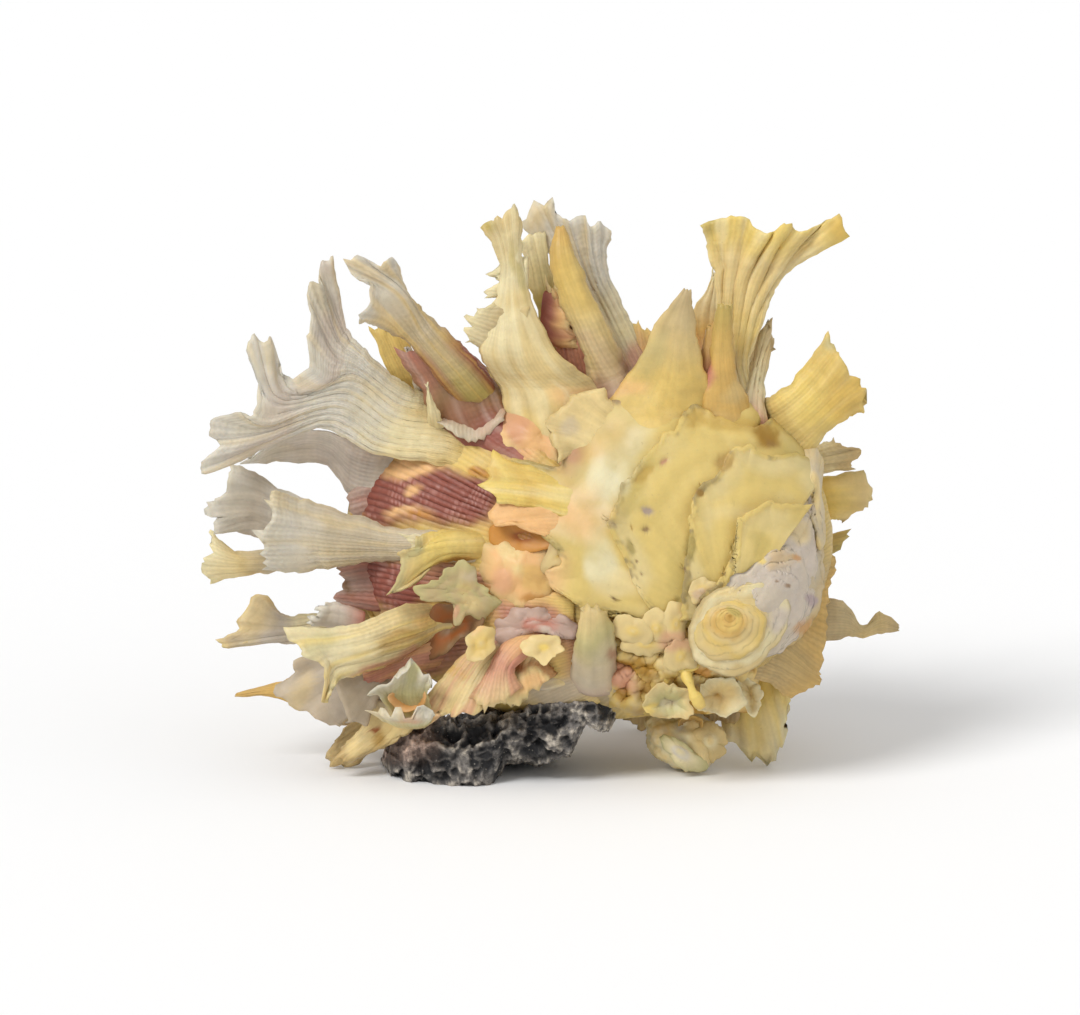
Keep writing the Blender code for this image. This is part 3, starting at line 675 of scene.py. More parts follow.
def growth_group():
    """Height: a wave across the ribs and a wave along the growth lines, both bent by noise, and
    pitted by a finer noise. Colour: the tint darkened in the grooves of that relief as painted
    shade, and specked with grime."""
    tree = bpy.data.node_groups.new("shell_growth", "ShaderNodeTree")
    add_socket(tree, "Tint", "Color", start=(0.8, 0.7, 0.4, 1))
    add_socket(tree, "Rib", "Float", start=0.0)
    add_socket(tree, "Grow", "Float", start=0.0)
    add_socket(tree, "Fine", "Float", start=1.0)
    add_socket(tree, "Position", "Vector")
    add_socket(tree, "Grime", "Float", start=0.5)
    add_socket(tree, "Mottle", "Float", start=0.6)
    add_socket(tree, "Grime Colour", "Color", start=(0.3, 0.22, 0.12, 1))
    for name, kind in (("Colour", "Color"), ("Roughness", "Float"), ("Height", "Float")):
        add_socket(tree, name, kind, put_out=True)
    given = tree.nodes.new("NodeGroupInput")
    given.location = (-1200, 0)
    result = tree.nodes.new("NodeGroupOutput")
    result.location = (900, 0)
    link = tree.links.new

    def texture(kind, at, scale, detail, **more):
        made = node(tree, kind, at, {"Scale": scale, "Detail": detail, **more})
        link(given.outputs["Position"], made.inputs["Vector"])
        return made

    soft = texture("TexNoise", (-900, -300), 90.0, 3.0)
    crisp = texture("TexNoise", (-900, -550), 1100.0, 3.0, Roughness=0.6)
    blotch = texture("TexNoise", (-900, -800), 240.0, 5.0, Roughness=0.65)
    bent = math_node(tree, "MULTIPLY_ADD", (-650, 200), soft.outputs["Fac"], 0.5)
    link(given.outputs["Rib"], bent.node.inputs[2])
    turned = math_node(tree, "MULTIPLY", (-550, 200), bent, math.tau)
    ribs = math_node(tree, "SINE", (-450, 200), turned)
    wide = math_node(tree, "MULTIPLY_ADD", (-650, 0), soft.outputs["Fac"], 1.5)
    link(given.outputs["Grow"], wide.node.inputs[2])
    quick_turn = math_node(tree, "MULTIPLY", (-550, 0), wide, math.tau * 0.66)
    lines = math_node(tree, "SINE", (-450, 0), quick_turn)
    slow_turn = math_node(tree, "MULTIPLY", (-550, -120), wide, 1.3)
    slow = math_node(tree, "SINE", (-450, -120), slow_turn)
    beads = math_node(tree, "MULTIPLY_ADD", (-250, 100), ribs, 0.5)
    beads.node.inputs[2].default_value = 0.5
    cross = math_node(tree, "MULTIPLY_ADD", (-250, 0), lines, 0.24)
    link(beads, cross.node.inputs[2])
    slowly = math_node(tree, "MULTIPLY_ADD", (-250, -120), slow, 0.22)
    link(cross, slowly.node.inputs[2])
    strong = math_node(tree, "MULTIPLY", (-50, 50), slowly, given.outputs["Fine"])
    pits = ramp(tree, (-450, -550), crisp.outputs["Fac"], (0.2, 0.5, -0.35, 0.0))
    rough = math_node(tree, "ADD", (150, 50), strong, pits)
    link(rough, result.inputs["Height"])

    # Painted shade: the tint is darkened where the relief of ribs and growth lines is low.
    groove_shade = ramp(tree, (0, 250), slowly, (0.1, 1.0, 0.89, 1.03))
    groove_shade = mix(tree, (150, 300), given.outputs["Fine"], 1.0, groove_shade)
    mottled = ramp(tree, (0, -300), blotch.outputs["Fac"], (0.3, 0.7, 0.86, 1.1))
    mottled = mix(tree, (150, -250), given.outputs["Mottle"], 1.0, mottled)
    shade = math_node(tree, "MULTIPLY", (300, 200), groove_shade, mottled)
    tinted = mix(tree, (450, 200), 1.0, given.outputs["Tint"], shade, "RGBA", "MULTIPLY")
    specks = ramp(tree, (0, -550), crisp.outputs["Fac"], (0.63, 0.74, 0.0, 0.5))
    patchy = math_node(tree, "MULTIPLY", (300, -400), specks,
                       ramp(tree, (150, -500), soft.outputs["Fac"], (0.4, 0.65, 0.1, 1.0)))
    dirty = math_node(tree, "MULTIPLY", (450, -350), patchy, given.outputs["Grime"], clamp=True)
    grimy = mix(tree, (650, 150), dirty, tinted, given.outputs["Grime Colour"], "RGBA")
    link(grimy, result.inputs["Colour"])
    dull = ramp(tree, (450, -120), blotch.outputs["Fac"], (0.3, 0.7, 0.42, 0.62))
    link(dull, result.inputs["Roughness"])
    return tree


GROWTH = growth_group()
print("group", GROWTH.name, "has", len(GROWTH.nodes), "nodes")

# %% [markdown]
# Old shell is chalky, with a slight waxy glow where light gets into its thin edges. A little
# subsurface light gives that. The upper and the lower valve, and the worn crust at the umbo,
# differ in how strong their lines and their grime are.

# %% The shell's materials
def new_material(name):
    made = bpy.data.materials.new(name)
    made.use_nodes = True
    return made, made.node_tree, made.node_tree.nodes["Principled BSDF"]


def shell_material(name, bump=0.3, grime=0.5, grime_colour=(0.30, 0.21, 0.12, 1),
                   mottle=0.6, glow=0.12):
    made, tree, shader = new_material(name)
    group = node(tree, "Group", (-300, 0), node_tree=GROWTH)
    group.inputs["Grime"].default_value = grime
    group.inputs["Grime Colour"].default_value = grime_colour
    group.inputs["Mottle"].default_value = mottle
    for row, (label, socket) in enumerate(
        (("tint", "Color"), ("rib", "Fac"), ("grow", "Fac"), ("fine", "Fac"))
    ):
        read = node(tree, "Attribute", (-600, 200 - 180 * row), attribute_name=label)
        tree.links.new(read.outputs[socket], group.inputs[row])
    place = node(tree, "TexCoord", (-600, -550))
    tree.links.new(place.outputs["Object"], group.inputs["Position"])
    raised = node(tree, "Bump", (-50, -250), {"Strength": bump, "Distance": 0.0006})
    tree.links.new(group.outputs["Height"], raised.inputs["Height"])
    tree.links.new(group.outputs["Colour"], shader.inputs["Base Color"])
    tree.links.new(group.outputs["Roughness"], shader.inputs["Roughness"])
    tree.links.new(raised.outputs["Normal"], shader.inputs["Normal"])
    shader.inputs["Subsurface Weight"].default_value = glow
    shader.inputs["Subsurface Radius"].default_value = (1.0, 0.6, 0.3)
    shader.inputs["Subsurface Scale"].default_value = 0.002
    shader.inputs["Specular IOR Level"].default_value = 0.4
    return made


UPPER_SHELL = shell_material("upper_shell_finish", bump=0.22, grime=0.6)
LOWER_SHELL = shell_material("lower_shell_finish", grime=0.8)
SMOOTH_SHELL = shell_material("smooth_tier_finish", bump=0.15, grime=0.6, mottle=0.25)
CRUST = shell_material("crust_finish", bump=0.4, grime=0.9, grime_colour=(0.33, 0.25, 0.20, 1),
                       mottle=0.5)
print("materials:", [material.name for material in bpy.data.materials])

# %% [markdown]
# ## The valves
#
# The upper valve is the low dome under everything. A square grid pressed into a disc, then
# raised to a half ball, has no pole, so its fine ribs stay even. The ribs spread from the umbo.

# %% Raise the two domes
def disc(count):
    """A square grid turned into a unit disc: x times root(1 - y squared / 2), and the same for y."""
    x, y = np.meshgrid(np.linspace(-1, 1, count), np.linspace(-1, 1, count), indexing="ij")
    return x * np.sqrt(1 - y * y / 2), y * np.sqrt(1 - x * x / 2)


def umbo_ribs(points, wave):
    """The angle round the umbo, as a count of ribs, and the distance from it."""
    x, y = points[..., 0] - UMBO[0], points[..., 1] - UMBO[1]
    return np.arctan2(y, -x) / math.tau * wave, np.hypot(x, y)


def make_dome(name, valve, count, ribs=110, line=2.4, depth=0.3, inset=1.4):
    """Half a ball on the outline: a disc's radius becomes the angle from the top, leaned and
    stretched. Ribs round the umbo stand proud, broken into beads by growth lines."""
    side, lean, height = valve
    node_name, material = ("upper_valve", UPPER_SHELL) if side > 0 else ("lower_valve", LOWER_SHELL)
    x, y = disc(count)
    radius = np.hypot(x, y)
    swing = np.minimum(radius, 1) * math.pi / 2
    ratio = np.sin(swing) / np.maximum(radius, 1e-6)
    rise = np.cos(swing)
    depth_in = height - inset
    drift = rise * depth_in / height
    across, up = (
        OUTLINE_CENTRE[k] + (OUTLINE_RADII[k] - inset) * flat * ratio + lean[k] * drift
        for k, flat in enumerate((x, y))
    )
    points = np.stack([across, up, side * np.maximum(depth_in * rise, 0.6)], axis=-1)
    count_round, away = umbo_ribs(points, ribs)
    wander = 0.5 * noise(points, 14, 41)
    bead = 0.75 + 0.25 * np.sin(away * line + wander * 3)
    ridge = np.abs(np.sin(np.pi * (count_round + wander))) * bead
    normals = side * grid_normals(points)
    worn = 0.35 + 0.65 * step(30, 55, away)
    points = points + normals * (depth * ridge * worn + 0.7 * fractal(points, 16, 43, 4))[..., None]
    tint = field(points, HOLLOW_TINT_AND_SHADE) if side > 0 else back_field(points)
    # Painted shade: the face is darker between its ribs and lighter on them.
    tint = tint * (0.86 + 0.2 * ridge * worn)[..., None]
    lilac = (step(0.72, 0.98, ridge) * step(30, 45, away) * redness(tint))[..., None]
    tint = tint + (linear("lilac") * 0.7 - tint) * 0.3 * lilac
    thick = np.full(radius.shape, 2.4)
    return keep(
        two_sided(name, points, thick, tint, count_round * 2, away, np.full(radius.shape, 0.8),
                  material),
        node_name,
    )


def redness(tint):
    """How much of a colour is red rather than yellow, from 0 to 1."""
    return step(0.32, 0.6, 1 - tint[..., 1] / np.maximum(tint[..., 0], 1e-3))


def back_field(points):
    """The lower valve's face: yellow-brown, paler towards its rim, blotched with rose."""
    to_rim = np.linalg.norm((points[..., :2] - OUTLINE_CENTRE) / OUTLINE_RADII, axis=-1)
    blotch = step(0.0, 0.7, fractal(points, 20, 51, 3))
    colour = fade_to(linear("buff"), "cream", step(0.5, 1.0, to_rim))
    return colour + (linear("rose") - colour) * 0.55 * blotch[..., None]


make_dome("upper_dome", UPPER, 150)
make_dome("lower_dome", LOWER, 105, ribs=52, line=0.9, depth=0.5)
print("domes:", COUNT)

# %% [markdown]
# Where the dome shows between the fronds, on the left, its ribs are rows of pink beads on
# maroon. That stretch gets two finer sheets of its own, laid on polar lines from the umbo.

# %% Beaded faces
def outline_distance(angle):
    """How far the valve's outline is from the umbo in a direction: where the ray meets the oval."""
    start = (np.array(UMBO) - OUTLINE_CENTRE) / OUTLINE_RADII
    x, y = np.cos(angle) / OUTLINE_RADII[0], np.sin(angle) / OUTLINE_RADII[1]
    square, half = x * x + y * y, x * start[0] + y * start[1]
    rest = start[0] ** 2 + start[1] ** 2 - 1
    return (np.sqrt(half * half - square * rest) - half) / square


def make_beaded(name, turns, reaches, rib_gap=1.45, bead_gap=1.5, lift=0.5, rows=100, columns=165):
    """A sheet on the upper valve between two directions from the umbo and two distances, pulled in
    so that it ends at the valve's outline at the latest. It has one ridge to each rib gap, counted
    80 mm from the umbo, and a bump to each bead gap along a ridge."""
    distance, turn = np.meshgrid(
        np.linspace(*reaches, rows), np.linspace(*turns, columns), indexing="ij"
    )
    angle = np.radians(turn)
    room = (outline_distance(angle) - reaches[0]) / np.ptp(reaches)
    distance = reaches[0] + (distance - reaches[0]) * np.minimum(1, room)
    across, up = UMBO[0] + distance * np.cos(angle), UMBO[1] + distance * np.sin(angle)
    base = np.maximum(ball_height(across, up), 2.4)
    points = np.stack([across, up, base + lift], axis=-1)
    wander = 0.9 * noise(points, 16, 45)
    ribs = (angle * 80 / rib_gap) + wander
    ridge = np.abs(np.cos(np.pi * ribs)) ** 0.8
    beads = 0.5 + 0.5 * np.cos(math.tau * (distance / bead_gap + 1.2 * noise(points, 4, 44)))
    thin = np.abs(np.cos(np.pi * (ribs * 2 + 0.25))) ** 2
    relief = 0.45 * ridge * (0.8 + 0.2 * beads) + 0.1 * thin
    tint = field(points, HOLLOW_TINT_AND_SHADE)
    red = redness(tint)
    relief *= (0.2 + 0.8 * step(52, 72, distance)) * (0.3 + 0.7 * red)
    points[..., 2] += relief + 0.6 * fractal(points, 9, 46, 4)
    patchy = step(-0.3, 0.5, noise(points, 6, 47) + 0.4 * noise(points, 2, 48))
    bright = step(0.7, 1.0, ridge) * step(0.2, 0.9, beads) * red * patchy
    # In the maroon the ground between the ribs is darker and the ribs paler, the beads' own colour;
    # everywhere the ribs are also a little lighter, as painted shade.
    tint = tint * (1 + red * (0.35 * ridge - 0.42) + 0.07 * (ridge - 0.6))[..., None]
    tint = fade_to(tint, linear("lilac") * [0.95, 0.6, 0.6], 0.6 * bright)
    near = np.minimum(distance - reaches[0], reaches[1] - distance)
    sideways = np.minimum(turn - min(turns), max(turns) - turn) * 1.2
    wall = 1.8 * np.sqrt(np.clip(np.minimum(near, sideways) / 2, 0.05, 1))
    return keep(
        two_sided(name, points, wall, tint, ribs, distance, np.full(turn.shape, 0.4), UPPER_SHELL),
        "upper_valve",
    )


make_beaded("beaded_face", (138, 190), (50, 97))
make_beaded("beaded_corner", (172, 214), (38, 97), rows=110, columns=115)
print("with the beaded faces:", COUNT)

# %% [markdown]
# ## Fronds of the upper valve, left side
#
# Each frond is given by rows of points across it, from its root to its free edge. The big
# greyish fan on the left grows out of a cream band, and forks into ragged fingers.

# %% Left fan
def upper(name, rows, colours, **settings):
    """A frond of the upper valve. One that starts in the valve's face is rooted there."""
    in_face = max(abs(out - ball_height(across, up)) for across, up, out in rows[0]) < 4
    return make_frond(name, rows, colours, "upper_valve", UPPER_SHELL, rooting=in_face, **settings)


def lower(name, rows, colours, **settings):
    return make_frond(name, rows, colours, "lower_valve", LOWER_SHELL, **settings)


upper("left_fan", [
    [face(-27, 95, 1.5), face(-23, 79, 1.5)],
    [(-38, 100.5, 12), (-45, 82, 14)],
    [(-46, 107.5, 15), (-57, 88.3, 18)],
    [(-52.5, 117, 16), (-54, 116, 16), (-55, 115, 17), (-55.3, 113, 17), (-56.5, 112, 18),
     (-56, 108, 18.5), (-56.5, 105, 19), (-57, 101, 20), (-62, 97.5, 21), (-65, 97, 22),
     (-67.5, 98, 22), (-69, 97.5, 23), (-70, 97, 23), (-70.7, 96, 23), (-70.3, 94, 23),
     (-70.5, 92, 23), (-71.5, 90, 23), (-73, 89.5, 23), (-74.5, 88.5, 23), (-75, 87, 22.5),
     (-75, 85.5, 22), (-75.5, 84, 21.5), (-75.5, 83, 21), (-74, 82.5, 20), (-72, 84, 18)],
    [(-54.5, 130.5, 20), (-57.3, 130.3, 20), (-58.5, 127, 20), (-57.8, 124.3, 20),
     (-61.6, 124, 21), (-60, 118, 21), (-61.3, 111, 21), (-60.4, 104, 21), (-64.5, 100.2, 21.5),
     (-67.3, 102, 22), (-69.8, 111, 23), (-71.6, 109.3, 24), (-73.8, 111, 25),
     (-76, 107.5, 25), (-72.8, 102, 24), (-73.5, 95, 24), (-74.8, 91.6, 24), (-78.2, 93.2, 24),
     (-84.7, 90.4, 24), (-85.7, 86, 23), (-82.5, 84.3, 22), (-86.6, 80.5, 22), (-86, 77.3, 22),
     (-79, 79.8, 20), (-75.5, 80.5, 17)],
], "yellow yellow straw pale white white lilac white", arch=2.5, ribs=12, depth=0.4, ragged=1.2,
    curl=1.0,
    fine=0.8, streak=("straw", 0.35))
upper("left_fan_wall", [
    [face(-36, 83), face(-38, 71)],
    [(-49, 84.5, 13), (-50.5, 72, 4)],
    [(-57, 88, 17), (-57, 79.5, 7)],
    [(-67, 86.5, 18), (-67, 80.2, 10)],
    [(-75.5, 81, 17), (-77, 79.6, 14)],
], "grey grey lilac white", arch=-1.5, ribs=4, depth=0.3, ragged=0.7, curl=0.4, root=0.1)
upper("left_fan_thorn", [
    [face(-30.5, 88, 1), face(-25.5, 88, 1)],
    [(-32, 94, 19), (-28.5, 93, 19)],
    [(-32.3, 99, 22), (-31, 98.5, 22)],
], "cream pale", arch=1.0, ribs=2, depth=0.3, root=0)
print("after the left fan:", COUNT)

# %% [markdown]
# Below it, the white bar reaches out over the maroon wall. Its tip is made of three ragged
# sheets, one behind another, with a gap that shows through between the last two.

# %% Left bar
upper("left_wall", [
    [face(-41, 76), face(-44, 60), face(-40, 43)],
    [(-51, 75, 5), (-51.6, 68, 6), (-51.6, 60, 7), (-53.6, 54, 7), (-53, 49, 7), (-56, 44.6, 7)],
], "maroon maroon maroon dusk", arch=0.5, ribs=20, ragged=1.7, curl=0.5, fine=1.0, root=0.1,
    streak=("rose", 0.6), patches=[(-53, 50, 1.6, 6, 8, "brown", 0.9)])
upper("wall_heel", [
    [(-47, 43, 12), (-47, 38, 12)],
    [(-54, 45.4, 12), (-55, 39, 12)],
    [(-57, 44.8, 13), (-61.4, 40, 14)],
], "rose lilac white", arch=1.0, ribs=3, depth=0.3, ragged=1.2, fine=0.2, root=0)
upper("left_bar", [
    [face(-27, 63, 1), face(-28, 55, 1)],
    [(-42, 64.5, 13), (-42, 55.5, 12)],
    [(-54, 68.3, 14), (-54, 54, 13)],
    [(-64, 71.3, 16), (-64, 53.5, 14)],
    [(-69.8, 72.6, 19), (-70, 69, 19), (-72.3, 63, 18), (-72.8, 58, 17), (-73, 54, 15)],
], "straw bone bone white", arch=3.2, ribs=6, ragged=1.9, curl=0.8, fine=0.7, root=0.2,
    streak=("straw", 0.4))
upper("left_bar_top_fork", [
    [(-56, 68.5, 12), (-56, 60, 11)],
    [(-68, 73.5, 12), (-68, 61, 11)],
    [(-75.5, 78, 14), (-76, 62, 12)],
    [(-80.5, 80.5, 15), (-81, 77, 15), (-83.3, 72, 15), (-85.8, 70, 15), (-84.5, 66, 14),
     (-85.3, 62, 14), (-80, 63, 13)],
], "bone white grey white", arch=1.5, depth=0.4, curl=0.8, root=0)
upper("left_bar_low_fork", [
    [(-60, 60, 9), (-60, 54, 8)],
    [(-71, 58.5, 10), (-70, 53, 9)],
    [(-79, 58, 11), (-77, 52.3, 11)],
    [(-84.3, 62.6, 12), (-85.5, 59, 12), (-87.4, 54.7, 12), (-86, 49.5, 12)],
], "grey bone straw pale", arch=1.2, ribs=4, depth=0.4, curl=0.6, root=0)
print("after the left bar:", COUNT)

# %% [markdown]
# The club is a thick rod with a rolled tip that forks. Its flanks are maroon, and a yellow
# sheet and a small white rib stand behind it.

# %% Club
upper("club", [
    [face(-19, 89.5, -4.5), face(-11, 95, -4.5)],
    [(-27.5, 99, 17), (-18, 104, 17)],
    [(-37, 110, 21), (-29, 115, 21)],
    [(-44, 113.5, 23), (-42.5, 116, 24), (-42.5, 119, 25), (-41.5, 122, 26), (-40.5, 124, 26),
     (-39.5, 124.5, 26), (-38.8, 124.8, 26), (-37.5, 124, 25), (-36.2, 122, 24)],
    [(-47.6, 114.5, 24), (-48.2, 116.7, 25), (-45.4, 120, 26), (-45.2, 125, 27),
     (-50.6, 127.2, 27), (-51.6, 130.3, 28), (-49, 131.8, 28), (-42.6, 128.5, 28),
     (-40.6, 131, 27), (-38.4, 127.6, 25)],
], "olive olive moss moss bone white", arch=5.0, depth=0.4, ragged=0.9, curl=0.8,
    flank=("maroon", 1.0, 0.7), fine=0.8, root=0.1, streak=("gold", 0.4))
upper("club_flank", [
    [face(-27, 86, 0.5), face(-10, 92, 0.5)],
    [(-33, 97, 13), (-15.5, 101.5, 13)],
    [(-39, 108, 15), (-24, 110, 14)],
], "rose maroon brown rose", arch=3.5, ribs=12, depth=0.6, ragged=1.4, curl=0.5, fine=1.0, root=0,
    streak=("dusk", 0.5))
upper("club_lip", [
    [face(-29, 91, 0), face(-11, 95, 0)],
    [(-28.5, 91, 15.5), (-20, 89.5, 17), (-12.5, 92, 17)],
    [(-28.6, 90.2, 17), (-24, 86.6, 18), (-20, 85.6, 18.6), (-16, 86.8, 18.6), (-12, 90.2, 18.6)],
], "maroon maroon rose bone", arch=1.0, ribs=9, depth=0.45, ragged=1.4, curl=0.5, root=0)
upper("club_shadow", [
    [face(-37, 94), face(-24, 97)],
    [(-41.5, 103, 9), (-34, 105, 8)],
    [(-45.5, 113, 10), (-38, 112, 9)],
], "olive yellow yellow", arch=1.5, ribs=3, depth=0.4, ragged=2.7, root=0)
upper("club_inner_rib", [
    [face(-33, 96), face(-29, 96)],
    [(-36, 102, 12), (-33, 102, 12)],
    [(-37, 108, 13), (-35.5, 108, 13)],
], "lilac white lilac", arch=1.5, ribs=1, depth=0.3, root=0)
print("after the club:", COUNT)

# %% [markdown]
# ## Fronds of the upper valve, top
#
# The blade is broad and yellow, with a ragged left edge that turns white at the tip. Behind it
# stand a white ribbed column and a yellow gutter with a maroon inside.

# %% Blade, column and gutter
upper("blade", [
    [face(-10, 84, -1), face(14, 90, -2)],
    [(-14, 98, 16), (11.5, 98.5, 16)],
    [(-18, 108.5, 20), (2.5, 106, 22)],
    [(-16, 114, 21), (-2.5, 113, 23)],
    [(-15, 120.5, 22), (-5.5, 120.5, 23)],
    [(-13, 130, 23), (-8, 130.5, 24)],
    [(-18.5, 139, 26), (-15.7, 141.3, 26), (-12.8, 140.8, 25), (-9.4, 142, 25), (-8.6, 138, 25)],
], "yellow yellow straw straw pale straw", arch=3.4, depth=0.3, ragged=1.2, curl=0.9,
    fine=0.35, streak=("pale", 0.5), patches=[
        (-14, 113, 6, 6, 0, "pale", 0.6), (-4, 104, 6, 9, 30, "cream", 0.7),
        (-17, 138.5, 3, 2, 0, "olive", 0.9),
        (-9, 128, 1.5, 10, 5, "olive", 0.6), (6, 97, 9, 4, -20, "peach", 0.6)])
upper("blade_lobe", [
    [(-8, 106, 21), (-6, 119, 23)],
    [(-18.5, 109, 20), (-14, 119.5, 22)],
    [(-22.5, 111, 20), (-22, 114.5, 21), (-20, 117, 21), (-16.5, 118.5, 22)],
], "straw moss pale", arch=0.8, ribs=4, ragged=2.7, root=0)
upper("blade_top_lobe", [
    [(-6.5, 122, 22), (-6.5, 131, 23)],
    [(-12, 121, 21), (-11.5, 130.5, 22)],
    [(-15.6, 121, 21), (-14.2, 125, 21), (-13.4, 129.3, 22)],
], "pale pale", arch=0.4, ribs=4, depth=0.6, ragged=3.0, root=0)
upper("pale_column", [
    [face(13, 101), face(25, 102)],
    [(8, 115, 6), (18.5, 116, 6)],
    [(2.5, 128, 7), (13.5, 128, 7)],
    [(-8.8, 140, 9), (-3.8, 143.5, 9), (-1.4, 144.2, 9), (2, 142, 9), (4, 140.8, 9),
     (7.7, 142, 9), (9, 139.3, 9), (11.5, 139.8, 9), (13.7, 137.6, 9)],
], "rose bone pale white white", arch=3.0, ribs=7, depth=0.9, ragged=1.2, curl=0.8,
    flank=("rose", 0.6, 0.4), root=0.05, streak=("straw", 0.5), patches=[
        (20, 108, 4, 6, 20, "rose", 0.7), (-4, 141, 5, 3, 30, "straw", 0.5)])
upper("column_foot", [
    [face(14, 101), face(30, 101)],
    [(17, 114, 5), (20, 114.5, 5), (24.5, 114.5, 5)],
], "maroon rose yellow", arch=0.5, ragged=3.0, root=0.1)
upper("gutter_ridge", [
    [face(10, 98.5, 2), face(18.5, 103, 2)],
    [(6.5, 108.5, 18), (15, 110.5, 18)],
    [(1.5, 120, 19), (9, 122, 19)],
    [(-0.8, 129, 19), (5, 131, 19)],
    [(0.8, 138.2, 19), (2.2, 138.4, 19)],
], "rose dusk straw yellow honey", arch=3.5, ribs=3, depth=0.4, ragged=0.7, curl=0.4,
    flank=("maroon", 0.7, 0.5), root=0.1)
upper("gutter_wing", [
    [face(1, 101, 1), face(13, 100, 1)],
    [(0, 110, 13), (9, 109, 17)],
    [(-1.5, 117, 12), (4.5, 113, 16), (6.5, 118, 17)],
    [(-2, 124.8, 12), (0.5, 121, 15), (1.5, 124, 15)],
], "maroon rose pink cream", arch=-1.0, ribs=6, depth=0.4, ragged=2.0, root=0, streak=("maroon", 0.6))
upper("gutter_flap", [
    [(-3, 112, 13), (-2.2, 123, 12)],
    [(1, 109, 14), (0, 122.5, 14)],
    [(5.5, 108.5, 15), (5.2, 113, 16), (2.5, 118, 16), (-0.5, 123, 15)],
], "maroon rose peach cream", arch=1.0, depth=0.3, ragged=2.4, root=0, streak=("maroon", 0.5))
upper("gutter_back", [
    [face(-1, 102), face(7, 103)],
    [(-4.5, 118, 9), (2, 117, 9)],
    [(-9, 136, 11), (-2, 138, 11)],
], "maroon olive olive pale", arch=0.5, ribs=3, depth=0.4, root=0)
print("after the gutter:", COUNT)

# %% [markdown]
# The thorn is smooth and olive yellow. Next to it stands a cut-off tube, and behind them the
# big right fan opens into folds, like a pleated skirt.

# %% Thorn, tube and right fan
upper("thorn", [
    [face(12, 93, 0.6), face(41, 93, 0.6)],
    [(17.6, 101, 18.4), (38.6, 100, 18.4)],
    [(22, 107, 20.2), (36.2, 106, 20.2)],
    [(26, 115.5, 23), (34.6, 115, 23)],
    [(32, 122.8, 25.6), (33.8, 122.5, 25.6)],
], "cream yellow yellow straw moss", arch=3.0, ribs=2, depth=0.25, ragged=0.9, curl=0.3,
    fine=0.1, root=0.12, patches=[(24, 108, 3, 7, -20, "sage", 0.4), (17, 98, 6, 3, 20, "peach", 0.6)])
upper("short_tube", [
    [face(36, 91, 0.4), face(49, 91, 0.4)],
    [(38.5, 106, 19), (45, 105, 19)],
    [(40, 119.4, 22), (44.2, 119.6, 22)],
], "straw honey honey olive", arch=2.6, ribs=3, depth=0.35, ragged=0.7, curl=0.3, fine=0.15,
    root=0.12, patches=[(37.6, 104, 2.2, 5, 0, "rose", 1.0), (43, 96, 3, 3, 0, "straw", 0.6)])
upper("short_tube_side", [
    [face(35, 95, 1), face(39, 95, 1)],
    [(36.5, 107, 17), (40.5, 107, 18)],
    [(38, 112, 18), (39.5, 115.5, 19)],
], "rose maroon honey", arch=1.2, ribs=2, depth=0.3)
upper("right_fan", [
    [face(42.5, 93), face(50, 94)],
    [(42.5, 105, 10), (48.2, 104, 10)],
    [(41, 114, 11), (51.2, 114, 11)],
    [(40, 126, 12), (57, 126, 12)],
    [(36.2, 139.6, 14), (40.2, 140.4, 14), (44.6, 141.6, 14), (48.7, 140.8, 14),
     (52.4, 137.6, 14), (54.6, 138, 14), (57.1, 139.8, 15), (59.5, 139.2, 15), (61, 138.2, 14),
     (66.5, 139.8, 14), (71, 142, 15), (73.3, 136, 15)],
], "rose straw yellow cream bright", arch=3.5, depth=2.4, ragged=1.0, curl=0.6,
    root=0.12, streak=("pale", 0.5), patches=[(71, 139, 4, 4, 0, "gold", 0.7),
    (39, 138, 3, 3, 0, "olive", 0.7)])
upper("right_fan_wing", [
    [face(38, 98), face(44, 98)],
    [(36, 108, 7), (43, 107, 8)],
    [(34.6, 116, 7), (43, 116, 9)],
    [(39, 125.5, 8), (42, 126, 10)],
], "rose rose honey pale", arch=-0.8, ribs=4, depth=0.6, ragged=3.0, root=0.05)
upper("right_fan_foot", [
    [face(45, 91), face(53, 88)],
    [(47.5, 99, 10), (52, 98, 9)],
    [(50, 106, 8), (54, 108, 8)],
    [(51.5, 113, 7), (53.5, 112.5, 7), (54.2, 108.5, 7)],
], "honey rose pale buff", arch=0.8, ribs=4, depth=0.6, ragged=2.7, root=0.1)
upper("right_leaf", [
    [face(51, 95, -1), face(63, 80, -1)],
    [(55, 97.5, 13), (67, 85.5, 12)],
    [(61.5, 103, 14), (72.5, 91, 13)],
    [(67.5, 112.5, 16), (70, 109.5, 16), (71.2, 107, 16), (73.5, 104, 16), (76.8, 101.5, 15),
     (77.5, 98, 15), (76.8, 92.5, 14)],
], "yellow straw bright yellow", arch=3.0, ribs=6, depth=0.35, ragged=1.2, fine=0.3, root=0.4,
    streak=("cream", 0.3), patches=[(72, 97, 6, 7, 60, "gold", 0.6), (70, 110, 3, 3, 0, "sage", 0.8)])
print("after the right fan:", COUNT)

# %% [markdown]
# ## Fronds of the upper valve, lower left
#
# Here the fronds crowd over one another: a yellow hook, a greenish leaf, a rust-coloured hollow,
# a long bar with a rose band, and folded veils.

